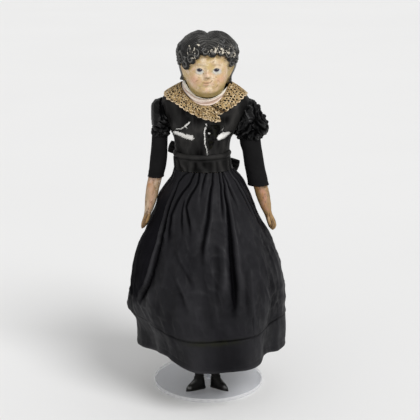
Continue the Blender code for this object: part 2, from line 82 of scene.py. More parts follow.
def curve(x, xs, ys):
    """A monotone cubic through the points, xs rising."""
    x, xs, ys = np.asarray(x, float), np.asarray(xs, float), np.asarray(ys, float)
    h = np.diff(xs)
    d = np.diff(ys) / h
    m = np.zeros(len(xs))
    m[0], m[-1] = d[0], d[-1]
    if len(xs) > 2:
        p, q = d[:-1], d[1:]
        w1, w2 = 2 * h[1:] + h[:-1], h[1:] + 2 * h[:-1]
        same = p * q > 0
        m[1:-1] = np.where(same, (w1 + w2) / (w1 / np.where(same, p, 1) + w2 / np.where(same, q, 1)), 0)
    i = np.clip(np.searchsorted(xs, x) - 1, 0, len(xs) - 2)
    t = np.clip((x - xs[i]) / h[i], 0, 1)
    t2, t3 = t * t, t * t * t
    return ys[i] * (2 * t3 - 3 * t2 + 1) + h[i] * m[i] * (t3 - 2 * t2 + t) + ys[i + 1] * (3 * t2 - 2 * t3) + h[i] * m[i + 1] * (t3 - t2)


def down(z, rows, column):
    """A column of a table whose first column falls."""
    rows = np.array(rows, float)[::-1]
    return curve(z, rows[:, 0], rows[:, column])


def lattice(x, y, z, seed):
    n = (x * 374761393 + y * 668265263 + z * 1103515245 + seed * 974634727) & 0xFFFFFFFF
    n = ((n ^ (n >> 13)) * 1274126177) & 0xFFFFFFFF
    return ((n ^ (n >> 16)) & 0xFFFF) / 32767.5 - 1.0


def noise(p, seed=0):
    p = np.asarray(p, float)
    i = np.floor(p).astype(np.int64)
    f = p - i
    w = f * f * f * (f * (f * 6 - 15) + 10)
    out = 0.0
    for dx in (0, 1):
        wx = w[..., 0] if dx else 1 - w[..., 0]
        for dy in (0, 1):
            wy = w[..., 1] if dy else 1 - w[..., 1]
            for dz in (0, 1):
                wz = w[..., 2] if dz else 1 - w[..., 2]
                out = out + wx * wy * wz * lattice(i[..., 0] + dx, i[..., 1] + dy, i[..., 2] + dz, seed)
    return out


def fbm(p, octaves=3, seed=0):
    p = np.asarray(p, float)
    out, gain, total = 0.0, 1.0, 0.0
    for k in range(octaves):
        out = out + gain * noise(p * 2.03**k + 17.3 * k, seed + k)
        total += gain
        gain *= 0.5
    return out / total


def creases(p, octaves=2, seed=0):
    """Sharp ridges, 0 to 1."""
    out, gain, total = 0.0, 1.0, 0.0
    for k in range(octaves):
        out = out + gain * (1 - np.abs(noise(np.asarray(p) * 2.1**k + 9.1 * k, seed + k))) ** 3
        total += gain
        gain *= 0.5
    return out / total


def pts(x, y, z):
    x, y, z = np.broadcast_arrays(x, y, z)
    return np.stack([x, y, z], -1).astype(float)


def near_line(x, y, line):
    best = np.full(np.broadcast(x, y).shape, 1e9)
    for (x0, y0), (x1, y1) in zip(line, line[1:]):
        dx, dy = x1 - x0, y1 - y0
        s = np.clip(((x - x0) * dx + (y - y0) * dy) / (dx * dx + dy * dy), 0, 1)
        best = np.minimum(best, np.hypot(x - x0 - s * dx, y - y0 - s * dy))
    return best


def chance(n, seed):
    return (lattice(np.arange(n), np.arange(n) * 7 + 3, np.arange(n) * 13 + 5, seed) + 1) / 2


# ---- meshes --------------------------------------------------------------------------
def normals(P, wrap):
    across = np.roll(P, -1, 1) - np.roll(P, 1, 1) if wrap else np.gradient(P, axis=1)
    along = np.gradient(P, axis=0)
    n = np.cross(along, across)
    return n / np.maximum(np.linalg.norm(n, axis=-1, keepdims=True), 1e-9)


def quads_of(rows, cols, wrap, offset=0):
    i = np.arange(rows * cols).reshape(rows, cols)
    right = np.roll(i, -1, 1)
    keep = slice(None) if wrap else slice(0, cols - 1)
    q = np.stack([i[:-1, keep], i[1:, keep], right[1:, keep], right[:-1, keep]], -1)
    return q + offset


def make(name, points, faces, look, attributes=None, sharp=None):
    mesh = bpy.data.meshes.new(name)
    mesh.from_pydata((np.asarray(points, float) * MM).tolist(), [], [tuple(f) for f in faces])
    mesh.update()
    mesh.validate()
    for key, values in (attributes or {}).items():
        a = mesh.attributes.new(key, "FLOAT", "POINT")
        a.data.foreach_set("value", np.asarray(values, np.float32).ravel())
    mesh.shade_smooth()
    if sharp is not None:
        mesh.set_sharp_from_angle(angle=math.radians(sharp))
    o = bpy.data.objects.new(name, mesh)
    bpy.context.scene.collection.objects.link(o)
    mesh.materials.append(look.mat)
    return o


def cloth(name, P, look, wrap=False, keep=None, thick=0.45, attributes=None):
    """A sheet from a grid of points, rows downward and columns to the viewer's right, as a thin solid."""
    rows, cols = P.shape[:2]
    q = quads_of(rows, cols, wrap)
    if keep is not None:
        q = q[keep]
    q = q.reshape(-1, 4)
    used = np.unique(q)
    place = np.full(rows * cols, -1)
    place[used] = np.arange(len(used))
    attributes = {k: np.broadcast_to(v, (rows, cols)).reshape(-1)[used] for k, v in (attributes or {}).items()}
    o = make(name, P.reshape(-1, 3)[used], place[q].tolist(), look, attributes)
    if thick:
        m = o.modifiers.new("thickness", "SOLIDIFY")
        m.thickness = thick * MM
        m.offset = -1
        m.use_rim = True
    return o


def body(name, P, look, attributes=None, close=(True, True)):
    """A closed form from rings of points, closed at each end with a point."""
    rows, cols = P.shape[:2]
    q = quads_of(rows, cols, True).reshape(-1, 4).tolist()
    points = [P.reshape(-1, 3)]
    extra = {}
    n = rows * cols
    for end, row in ((0, 0), (1, rows - 1)):
        if close[end]:
            points.append(P[row].mean(0)[None])
            ring = row * cols + np.arange(cols)
            nxt = np.roll(ring, -1)
            q += [(n, int(a), int(b)) if end == 0 else (n, int(b), int(a)) for a, b in zip(ring, nxt)]
            extra[end] = row
            n += 1
    filled = {}
    for k, v in (attributes or {}).items():
        v = np.broadcast_to(v, (rows, cols))
        filled[k] = np.concatenate([v.ravel()] + [[v[r].mean()] for r in extra.values()])
    return make(name, np.concatenate(points), q, look, filled)


def rings(rows, n, heights=None, power=2.0):
    """Rings from rows (z, cx, cy, a, b), falling z. heights are the z of the rings made."""
    t = np.linspace(-math.pi, math.pi, n, endpoint=False)[None, :]
    z = np.asarray(heights if heights is not None else [r[0] for r in rows], float)[:, None]
    cx, cy, a, b = (down(z, rows, k) for k in (1, 2, 3, 4))
    s, c = np.sin(t), np.cos(t)
    e = 2 / power
    return pts(cx + a * np.sign(s) * np.abs(s) ** e, cy - b * np.sign(c) * np.abs(c) ** e, z + 0 * t)


def path_rings(points, n, count):
    """Rings square to a path of rows (x, y, z, a, b), a across in x and z, b in y."""
    rows = np.array(points, float)
    d = np.concatenate([[0], np.cumsum(np.linalg.norm(np.diff(rows[:, :3], axis=0), axis=1))])
    s = np.linspace(0, d[-1], count)
    line = np.stack([curve(s, d, rows[:, k]) for k in range(5)], 1)
    along = np.gradient(line[:, :3], axis=0)
    along /= np.linalg.norm(along, axis=1, keepdims=True)
    y = np.array([0.0, 1.0, 0.0])
    side = np.cross(y, along)
    side /= np.linalg.norm(side, axis=1, keepdims=True)
    fore = np.cross(along, side)
    t = np.linspace(-math.pi, math.pi, n, endpoint=False)
    a, b = line[:, 3][:, None, None], line[:, 4][:, None, None]
    sign = -1.0
    return line[:, None, :3] + sign * a * np.sin(t)[None, :, None] * side[:, None] - b * np.cos(t)[None, :, None] * fore[:, None], line, s, t


# ---- looks ---------------------------------------------------------------------------
class Look:
    """A Principled material with its pattern nodes."""

    def __init__(self, name, rough=0.5, spec=0.5, sheen=0.0, sheen_rough=0.5, sheen_tint=(1, 1, 1), coat=0.0, coat_rough=0.1, clear=0.0, ior=1.5):
        self.mat = bpy.data.materials.new(name)
        self.mat.use_nodes = True
        self.tree = self.mat.node_tree
        self.shader = next(n for n in self.tree.nodes if n.type == "BSDF_PRINCIPLED")
        s = self.shader.inputs
        s["Roughness"].default_value = rough
        s["Specular IOR Level"].default_value = spec
        s["Sheen Weight"].default_value = sheen
        s["Sheen Roughness"].default_value = sheen_rough
        s["Sheen Tint"].default_value = (*sheen_tint, 1)
        s["Coat Weight"].default_value = coat
        s["Coat Roughness"].default_value = coat_rough
        s["Transmission Weight"].default_value = clear
        s["IOR"].default_value = ior
        self.where = self.node("ShaderNodeTexCoord").outputs["Object"]
        self.last_normal = None

    def node(self, kind, **settings):
        n = self.tree.nodes.new(kind)
        for k, v in settings.items():
            setattr(n, k, v)
        return n

    def give(self, socket, value):
        if isinstance(value, bpy.types.NodeSocket):
            self.tree.links.new(value, socket)
        elif isinstance(value, (tuple, list)) and len(value) == 3 and socket.type == "RGBA":
            socket.default_value = (*value, 1)
        else:
            socket.default_value = value
        return socket

    def placed(self, stretch):
        if stretch is None:
            return self.where
        m = self.node("ShaderNodeMapping")
        self.give(m.inputs["Vector"], self.where)
        m.inputs["Scale"].default_value = stretch
        return m.outputs["Vector"]

    def noise(self, scale, detail=3.0, rough=0.55, stretch=None, distort=0.0):
        n = self.node("ShaderNodeTexNoise")
        self.give(n.inputs["Vector"], self.placed(stretch))
        n.inputs["Scale"].default_value = scale
        n.inputs["Detail"].default_value = detail
        n.inputs["Roughness"].default_value = rough
        n.inputs["Distortion"].default_value = distort
        return n.outputs["Fac"]

    def cells(self, scale, feature="F1", output="Distance", stretch=None):
        n = self.node("ShaderNodeTexVoronoi", feature=feature)
        self.give(n.inputs["Vector"], self.placed(stretch))
        n.inputs["Scale"].default_value = scale
        return n.outputs[output]

    def bands(self, period, direction="Z", distort=0.0, profile="SIN"):
        """Bands this many millimetres apart."""
        n = self.node("ShaderNodeTexWave", wave_type="BANDS", bands_direction=direction, wave_profile=profile)
        self.give(n.inputs["Vector"], self.where)
        n.inputs["Scale"].default_value = TAU / (20 * period * MM)
        n.inputs["Distortion"].default_value = distort
        n.inputs["Detail"].default_value = 1.0
        return n.outputs["Fac"]

    def attr(self, name):
        return self.node("ShaderNodeAttribute", attribute_name=name).outputs["Fac"]

    def ramp(self, fac, *stops):
        n = self.node("ShaderNodeValToRGB")
        self.give(n.inputs["Fac"], fac)
        e = n.color_ramp.elements
        while len(e) < len(stops):
            e.new(0.5)
        for at, (place, value) in zip(e, stops):
            at.position = place
            at.color = (value, value, value, 1) if isinstance(value, (int, float)) else (*value, 1)
        return n.outputs["Color"]

    def mix(self, fac, a, b, blend="MIX"):
        n = self.node("ShaderNodeMix", data_type="RGBA", blend_type=blend)
        for i, v in ((0, fac), (6, a), (7, b)):
            self.give(n.inputs[i], v)
        return n.outputs[2]

    def sum(self, op, a, b=0.5, c=None):
        n = self.node("ShaderNodeMath", operation=op)
        self.give(n.inputs[0], a)
        self.give(n.inputs[1], b)
        if c is not None:
            self.give(n.inputs[2], c)
        return n.outputs[0]

    def colour(self, value):
        self.give(self.shader.inputs["Base Color"], value)

    def rough(self, value):
        self.give(self.shader.inputs["Roughness"], value)

    def relief(self, height, millimetres, strength=1.0):
        n = self.node("ShaderNodeBump")
        self.give(n.inputs["Height"], height)
        n.inputs["Distance"].default_value = millimetres * MM
        n.inputs["Strength"].default_value = strength
        if self.last_normal:
            self.give(n.inputs["Normal"], self.last_normal)
        self.last_normal = n.outputs["Normal"]
        self.give(self.shader.inputs["Normal"], self.last_normal)


def silk_look(name, dark, light, dust_and_sheen, rough=(0.46, 0.66), spec=(0.004, 0.13, 0.22)):
    """Old black taffeta: fine cross ribs, faded, crinkled, with dust and a painted highlight on the ridges and painted
    shade in the valleys.
    """
    k = Look(name)
    shine = k.ramp(k.attr("ridge"), (0.06, spec[0]), (0.45, spec[1]), (0.85, spec[2]))
    k.give(k.shader.inputs["Specular IOR Level"], k.sum("MULTIPLY", shine, k.ramp(k.attr("plain"), (0.0, 1.0), (1.0, 0.03))))
    fade = k.noise(26, 4, 0.6)
    streak = k.noise(160, 2, 0.5, stretch=(1, 1, 0.12))
    c = k.mix(k.ramp(fade, (0.34, 0.0), (0.72, 1.0)), dark, light)
    c = k.mix(k.ramp(streak, (0.45, 0.0), (0.75, 0.5)), c, light)
    # painted highlight and dust on the ridges
    c = k.mix(k.ramp(k.attr("ridge"), (0.52, 0.0), (0.95, 0.75)), c, dust_and_sheen)
    # painted shade: near black in the valleys
    c = k.mix(k.ramp(k.attr("ridge"), (0.05, 0.9), (0.45, 0.0)), c, (0.0008, 0.0008, 0.001))
    c = k.mix(k.attr("seam"), c, (0.0092, 0.0098, 0.0046))
    weft = k.bands(0.55, "Z")
    warp = k.noise(1500, 1, 0.5, stretch=(1, 1, 0.15))
    c = k.mix(k.ramp(weft, (0.2, 0.0), (0.9, 0.16)), c, dust_and_sheen)
    k.colour(c)
    k.rough(k.ramp(k.noise(70, 3), (0.3, rough[0]), (0.7, rough[1])))
    k.relief(weft, 0.05, 0.35)
    k.relief(warp, 0.06, 0.3)
    k.relief(k.noise(240, 4, 0.6, distort=0.6), 0.35, 0.45)
    k.relief(k.noise(95, 3, 0.6, distort=0.5, stretch=(1, 1, 0.6)), 0.8, 0.35)
    return k


def looks():
    L = {}
    L["skirt"] = silk_look("skirt_taffeta", (0.0042, 0.0041, 0.0052), (0.0089, 0.0085, 0.0108), (0.0242, 0.0234, 0.0272))
    L["bodice"] = silk_look("bodice_taffeta", (0.0056, 0.0055, 0.0055), (0.0122, 0.0116, 0.0112), (0.026, 0.024, 0.022))
    L["puff"] = silk_look("puff_taffeta", (0.0026, 0.0026, 0.0028), (0.006, 0.0058, 0.0062), (0.024, 0.0236, 0.024), rough=(0.26, 0.44), spec=(0.0, 0.14, 0.40))
    L["sash"] = silk_look("sash_taffeta", (0.004, 0.0038, 0.004), (0.0075, 0.0072, 0.0072), (0.014, 0.013, 0.0125))

    k = L["wool"] = Look("sleeve_wool", spec=0.10)
    fine = k.noise(1300, 2, 0.6)
    c = k.mix(k.ramp(k.noise(60, 4), (0.3, 0.0), (0.75, 1.0)), (0.0046, 0.0045, 0.0049), (0.0082, 0.008, 0.0083))
    c = k.mix(k.ramp(fine, (0.5, 0.0), (0.8, 0.5)), c, (0.015, 0.0145, 0.0145))
    c = k.mix(k.attr("worn"), c, (0.060, 0.026, 0.010))
    k.colour(c)
    k.rough(k.ramp(fine, (0.3, 0.78), (0.7, 0.95)))
    k.relief(k.bands(0.6, "DIAGONAL"), 0.08, 0.4)
    k.relief(fine, 0.12, 0.5)

    k = L["cotton"] = Look("white_cotton", spec=0.25, sheen=0.15)
    c = k.mix(k.ramp(k.noise(55, 4), (0.42, 0.0), (0.85, 1.0)), (0.95, 0.94, 0.91), (0.84, 0.80, 0.73))
    c = k.mix(k.ramp(k.bands(0.7, "Z"), (0.3, 0.0), (1.0, 0.2)), c, (0.74, 0.71, 0.65))
    k.colour(c)
    k.rough(k.ramp(k.noise(400), (0.3, 0.8), (0.7, 0.95)))
    k.relief(k.bands(0.7, "Z"), 0.1, 0.4)
    k.relief(k.noise(300, 4), 0.4, 0.4)

    k = L["linen"] = Look("stuffed_linen", spec=0.2, sheen=0.12)
    c = k.mix(k.ramp(k.noise(40, 4), (0.3, 0.0), (0.75, 1.0)), (0.56, 0.47, 0.34), (0.42, 0.33, 0.22))
    c = k.mix(k.ramp(k.bands(0.9, "Z"), (0.4, 0.0), (1.0, 0.35)), c, (0.34, 0.27, 0.18))
    c = k.mix(k.ramp(k.bands(0.9, "X"), (0.5, 0.0), (1.0, 0.25)), c, (0.62, 0.54, 0.42))
    k.colour(c)
    k.rough(k.ramp(k.noise(300), (0.3, 0.82), (0.7, 0.96)))
    k.relief(k.bands(0.9, "Z"), 0.12, 0.5)
    k.relief(k.noise(500, 3), 0.2, 0.4)

    k = L["satin"] = Look("ivory_satin", spec=0.45, sheen=0.2, sheen_rough=0.4)
    c = k.mix(k.ramp(k.noise(90, 4, distort=0.8), (0.3, 0.0), (0.7, 1.0)), (0.87, 0.75, 0.65), (0.68, 0.535, 0.46))
    # painted highlight along the top edge, on the pleat crests and the folded corner
    c = k.mix(k.attr("edge"), c, (0.95, 0.91, 0.82))
    c = k.mix(k.ramp(k.noise(210, 5), (0.62, 0.0), (0.78, 0.7)), c, (0.46, 0.35, 0.26))
    # painted shade in the pleat valleys
    c = k.mix(k.attr("crease"), c, (0.40, 0.27, 0.20))
    k.colour(c)
    k.rough(k.ramp(k.noise(160), (0.3, 0.42), (0.7, 0.66)))
    k.relief(k.noise(340, 3, stretch=(1, 1, 0.4)), 0.3, 0.4)
    k.relief(k.noise(1800, 1), 0.05, 0.4)

    k = L["lace"] = Look("ecru_lace", spec=0.15)
    thread = k.attr("thread")
    c = k.mix(k.ramp(k.noise(70, 4), (0.3, 0.0), (0.72, 1.0)), (0.47, 0.33, 0.155), (0.255, 0.158, 0.060))
    # the raised thread round each eyelet, painted lighter as a highlight
    c = k.mix(k.ramp(thread, (0.3, 0.0), (1.0, 0.9)), c, (0.80, 0.63, 0.385))
    # painted highlight along the lace's lower edge and its overlapping end
    c = k.mix(k.attr("rim"), c, (0.74, 0.585, 0.40))
    c = k.mix(k.ramp(k.noise(430, 3), (0.45, 0.0), (0.60, 0.9)), c, (0.12, 0.068, 0.024))
    c = k.mix(k.ramp(k.noise(420, 3), (0.6, 0.0), (0.72, 0.8)), c, (0.84, 0.74, 0.58))
    # painted shadow beside the overlapping end
    c = k.mix(k.attr("under"), c, (0.05, 0.026, 0.009))
    k.colour(c)
    k.rough(k.ramp(k.noise(700), (0.3, 0.75), (0.7, 0.95)))
    k.relief(k.noise(1500, 2), 0.25, 0.7)

    k = L["leather"] = Look("black_leather", spec=0.07, coat=0.10, coat_rough=0.10)
    crack = k.cells(420, "DISTANCE_TO_EDGE")
    c = k.mix(k.ramp(k.noise(140, 4), (0.35, 0.0), (0.75, 1.0)), (0.0018, 0.0017, 0.0017), (0.0055, 0.0047, 0.0042))
    c = k.mix(k.ramp(k.attr("wear"), (0.3, 0.0), (1.0, 0.5)), c, (0.012, 0.010, 0.009))
    # painted highlights on the toe, the instep and the shaft of the boots
    c = k.mix(k.sum("MULTIPLY", k.attr("scuff_and_highlight"), k.ramp(k.noise(420, 4, 0.6), (0.34, 0.2), (0.60, 1.0))), c, (0.30, 0.30, 0.295))
    k.colour(c)
    k.rough(k.ramp(k.noise(200, 3), (0.3, 0.30), (0.7, 0.55)))
    k.relief(k.ramp(crack, (0.0, 0.0), (0.12, 1.0)), 0.12, 0.35)
    k.relief(k.noise(700, 2), 0.08, 0.4)

    k = L["sole"] = Look("sole_leather", spec=0.35)
    c = k.mix(k.ramp(k.noise(90, 4), (0.3, 0.0), (0.75, 1.0)), (0.0045, 0.004, 0.0035), (0.012, 0.0095, 0.008))
    k.colour(c)
    k.rough(k.ramp(k.noise(240), (0.3, 0.5), (0.7, 0.8)))
    k.relief(k.noise(600, 3), 0.15, 0.5)

    k = L["stocking"] = Look("black_stocking", spec=0.12)
    knit = k.bands(0.8, "Z", 0.6)
    c = k.mix(k.ramp(k.noise(80, 4), (0.3, 0.0), (0.75, 1.0)), (0.006, 0.006, 0.0065), (0.013, 0.0125, 0.0125))
    c = k.mix(k.ramp(knit, (0.4, 0.0), (1.0, 0.5)), c, (0.022, 0.021, 0.021))
    k.colour(c)
    k.rough(k.ramp(k.noise(500), (0.3, 0.75), (0.7, 0.92)))
    k.relief(knit, 0.15, 0.6)
    k.relief(k.bands(0.7, "X", 0.4), 0.1, 0.4)

    k = L["limb"] = Look("painted_wood", spec=0.4, coat=0.06, coat_rough=0.35)
    base = k.mix(k.ramp(k.noise(90, 4, stretch=(1, 1, 0.5)), (0.34, 0.0), (0.66, 1.0)), (0.36, 0.245, 0.135), (0.225, 0.15, 0.066))
    c = k.mix(k.sum("MULTIPLY", k.attr("flush"), k.ramp(k.noise(130, 4, 0.6, stretch=(1, 1, 0.45)), (0.32, 0.35), (0.58, 1.0))), base, (0.49, 0.245, 0.165))
    c = k.mix(k.ramp(k.noise(170, 4, 0.65, stretch=(1, 1, 0.4)), (0.50, 0.0), (0.60, 0.85)), c, (0.42, 0.195, 0.07))
    c = k.mix(k.attr("cream"), c, (0.60, 0.455, 0.315))
    c = k.mix(k.attr("gold"), c, (0.31, 0.185, 0.066))
    c = k.mix(k.attr("hand"), c, (0.31, 0.185, 0.07))
    c = k.mix(k.ramp(k.noise(230, 5, 0.7, stretch=(1, 1, 0.35), distort=0.4), (0.54, 0.0), (0.61, 0.85)), c, (0.12, 0.07, 0.032))
    c = k.mix(k.ramp(k.noise(190, 5, 0.7, stretch=(1, 1, 0.5)), (0.61, 0.0), (0.68, 0.7)), c, (0.60, 0.475, 0.36))
    c = k.mix(k.sum("MULTIPLY", k.attr("pale"), k.ramp(k.noise(260, 4), (0.40, 0.0), (0.62, 0.85))), c, (0.66, 0.52, 0.42))
    # painted shade down the sides of the forearm
    c = k.mix(k.attr("rim"), c, (0.15, 0.10, 0.045))
    # painted shade between the fingers and beside the thumb, and stains on the hand
    c = k.mix(k.attr("groove"), c, (0.085, 0.042, 0.018))
    k.colour(c)
    k.rough(k.ramp(k.noise(150, 4), (0.3, 0.38), (0.7, 0.68)))
    k.relief(k.noise(120, 6, 0.7, distort=0.5), 0.25, 0.35)
    k.relief(k.noise(900, 2), 0.06, 0.4)

    k = L["head"] = Look("painted_papier_mache", spec=0.30, coat=0.05, coat_rough=0.3)
    skin = k.mix(k.ramp(k.noise(60, 4), (0.3, 0.0), (0.72, 1.0)), (0.66, 0.485, 0.305), (0.545, 0.37, 0.195))
    skin = k.mix(k.ramp(k.noise(130, 5, 0.65), (0.44, 0.0), (0.61, 0.9)), skin, (0.79, 0.655, 0.475))
    skin = k.mix(k.ramp(k.noise(95, 4, 0.6, distort=0.4), (0.46, 0.0), (0.62, 0.85)), skin, (0.56, 0.42, 0.15))
    skin = k.mix(k.ramp(k.noise(120, 4, 0.6, distort=0.6, stretch=(1, 1, 0.8)), (0.52, 0.0), (0.68, 0.55)), skin, (0.70, 0.43, 0.32))
    skin = k.mix(k.ramp(k.noise(430, 5, 0.7), (0.53, 0.0), (0.67, 0.50)), skin, (0.38, 0.25, 0.12))
    skin = k.mix(k.attr("blush"), skin, (0.70, 0.375, 0.275))
    skin = k.mix(k.attr("shade"), skin, (0.30, 0.22, 0.075))
    scuff_and_highlight = k.ramp(k.noise(260, 6, 0.72, distort=0.7), (0.57, 0.0), (0.67, 0.8))
    skin = k.mix(k.sum("MULTIPLY", scuff_and_highlight, k.attr("wear")), skin, (0.30, 0.19, 0.085))
    craze = k.ramp(k.cells(110, "DISTANCE_TO_EDGE"), (0.0, 0.55), (0.035, 0.0))
    skin = k.mix(k.sum("MULTIPLY", craze, k.ramp(k.noise(40, 2), (0.45, 0.0), (0.65, 0.8))), skin, (0.40, 0.27, 0.14))
    skin = k.mix(k.attr("lip"), skin, (0.56, 0.30, 0.215))
    skin = k.mix(k.attr("brow"), skin, (0.30, 0.225, 0.15))
    skin = k.mix(k.attr("white"), skin, k.mix(k.ramp(k.noise(210, 3), (0.4, 0.0), (0.65, 1.0)), (0.64, 0.62, 0.61), (0.52, 0.53, 0.46)))
    skin = k.mix(k.attr("iris"), skin, (0.040, 0.034, 0.068))
    skin = k.mix(k.attr("dark"), skin, (0.014, 0.011, 0.014))
    # cracks and scratches in the paint, and painted shade under the tip of the nose
    skin = k.mix(k.attr("scar_and_shade"), skin, (0.21, 0.12, 0.045))
    hair = k.mix(k.ramp(k.noise(90, 4), (0.3, 0.0), (0.75, 1.0)), (0.0030, 0.0029, 0.0028), (0.0095, 0.0088, 0.0082))
    # painted highlight on the crests of the moulded hair
    hair = k.mix(k.ramp(k.attr("ridge"), (0.48, 0.0), (0.95, 0.9)), hair, (0.100, 0.097, 0.090))
    # painted shade, near black, in the grooves of the hair
    hair = k.mix(k.ramp(k.attr("ridge"), (0.02, 0.9), (0.35, 0.0)), hair, (0.0012, 0.0011, 0.001))
    frayed = k.sum("ADD", k.sum("MULTIPLY", k.attr("chips"), 0.8), k.sum("MULTIPLY", k.noise(640, 4, 0.7), 0.85))
    chip = k.ramp(frayed, (0.765, 0.0), (0.865, 0.95))
    hair = k.mix(chip, hair, (0.64, 0.585, 0.48))
    hair = k.mix(k.sum("MULTIPLY", k.ramp(k.noise(330, 4, 0.6), (0.62, 0.0), (0.70, 0.45)), k.attr("ridge")), hair, (0.12, 0.10, 0.07))
    k.colour(k.mix(k.attr("hair"), skin, hair))
    gloss = k.mix(k.attr("hair"), k.ramp(k.noise(180, 4), (0.3, 0.36), (0.7, 0.60)), k.ramp(k.noise(150, 4), (0.3, 0.22), (0.7, 0.38)))
    k.rough(gloss)
    k.relief(k.noise(260, 6, 0.72, distort=0.7), 0.22, 0.35)
    k.relief(k.noise(1000, 2), 0.05, 0.4)

    k = L["acrylic_rod"] = Look("acrylic_rod", spec=0.5, clear=1.0, ior=1.49)
    k.colour(k.mix(k.ramp(k.noise(30, 3), (0.3, 0.0), (0.7, 1.0)), (0.86, 0.89, 0.93), (0.82, 0.85, 0.89)))
    k.rough(k.ramp(k.noise(240, 5, 0.7, stretch=(1, 0.2, 1)), (0.45, 0.05), (0.75, 0.2)))
    k.relief(k.noise(700, 4, 0.7, stretch=(0.2, 1, 1)), 0.02, 0.3)

    # the disc: thin clear sheet, faintly blue, its polished edge catching the light
    k = L["acrylic"] = Look("acrylic", spec=0.5)
    flat = k.node("ShaderNodeMapping")
    k.give(flat.inputs["Vector"], k.where)
    flat.inputs["Scale"].default_value = (1, 1, 0)
    span = k.node("ShaderNodeVectorMath", operation="LENGTH")
    k.give(span.inputs[0], flat.outputs["Vector"])
    radius = k.sum("MULTIPLY", span.outputs["Value"], 1 / 0.0762)
    edge = k.ramp(radius, (0.985, 0.0), (0.9935, 1.0))
    scratch = k.noise(240, 5, 0.7, stretch=(1, 0.2, 1))
    c = k.mix(k.ramp(k.noise(26, 3), (0.3, 0.0), (0.7, 1.0)), (0.54, 0.58, 0.68), (0.59, 0.62, 0.70))
    c = k.mix(k.ramp(scratch, (0.60, 0.0), (0.80, 0.5)), c, (0.75, 0.77, 0.82))
    k.colour(k.mix(edge, c, (0.97, 0.97, 0.98)))
    k.give(k.shader.inputs["Alpha"], k.ramp(radius, (0.0, 0.17), (0.978, 0.16), (0.984, 0.26), (0.9935, 0.60), (1.0, 0.36)))
    k.rough(k.ramp(scratch, (0.45, 0.08), (0.75, 0.24)))
    k.relief(k.noise(700, 4, 0.7, stretch=(0.2, 1, 1)), 0.02, 0.3)
    return L


LOOK = looks()


# ---- stand: the CAD solids with clear material ---------------------------------------
for node, look in (("stand_base", "acrylic"), ("stand_rod", "acrylic_rod"), ("stand_clip_collar", "acrylic_rod"), ("stand_waist_clip", "acrylic_rod")):
    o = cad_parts[node]
    o.data.materials.clear()
    o.data.materials.append(LOOK[look].mat)

# ---- the camera's line of sight, for placing folds ------------------------------------
EYE = np.array([2.3, -1450.0, 653.6])
PITCH = math.radians(15.588)
FOCUS = 1109.157


def sight(px, py):
    u, v = (px - 210) / FOCUS, (py - 210) / FOCUS
    return np.array([u, math.cos(PITCH) - v * math.sin(PITCH), -math.sin(PITCH) - v * math.cos(PITCH)])


# ---- head ----------------------------------------------------------------------------
FACE_X = -0.9
HEAD_ROWS = [
    # z, cx, widest y, half width, front y, back y
    (488.6, -0.9, -34, 1.2, -35.2, -32.8),
    (487.8, -0.9, -34, 9.0, -43.5, -24.5),
    (485.4, -0.9, -34, 17.6, -53.0, -15.6),
    (480.6, -0.9, -34, 25.6, -62.4, -7.0),
    (474.5, -0.9, -34, 31.0, -69.2, -1.4),
    (467.5, -0.9, -34.5, 33.6, -73.6, 1.2),
    (460.0, -0.9, -35, 33.6, -75.6, 1.8),
    (452.0, -0.9, -36, 33.0, -75.9, 0.2),
    (446.0, -1.3, -37.5, 31.2, -75.6, -2.6),
    (440.0, -1.9, -39.5, 28.7, -75.4, -6.6),
    (434.0, -2.2, -42, 26.4, -75.3, -11.0),
    (428.0, -2.1, -43.5, 24.0, -74.8, -13.6),
    (422.0, -1.8, -44, 21.4, -73.0, -15.0),
    (417.4, -1.5, -43.5, 18.6, -69.4, -15.8),
    (414.4, -1.6, -41.5, 15.9, -64.0, -16.2),
    (412.4, -1.7, -38, 15.4, -56.6, -16.2),
    (410.6, -1.8, -35.5, 16.6, -51.6, -16.0),
    (407.6, -2.0, -34, 18.8, -51.4, -15.0),
    (404.4, -2.2, -34, 22.5, -53.6, -13.0),
    (401.0, -2.6, -34, 28.5, -57.6, -10.4),
    (395.0, -3.2, -34, 35.0, -61.0, -8.4),
    (386.0, -4.8, -34, 38.4, -62.0, -6.8),
    (374.0, -6.0, -34, 38.2, -62.0, -6.0),
]
HAIRLINE_FRONT = [(-36, 455.5), (-33, 455.4), (-29, 456.6), (-26, 453.2), (-23.7, 452.4), (-21.5, 455.4), (-19, 458.6), (-14.5, 461.6), (-12, 464.4), (-9.5, 466.2), (-5, 467.9), (-0.2, 469.2), (5, 468.4), (11, 467.8), (18.4, 464.8), (21.5, 462.6), (22.9, 460.0), (24.4, 455.0), (26.2, 454.0), (29.5, 455.6), (32, 455.8), (35, 455.5)]
HAIRLINE_BACK = [(78, 455.8), (82, 454.6), (84.5, 449.5), (87, 441.5), (91, 435), (99, 431.5), (122, 429.5), (150, 428.5), (180, 428)]


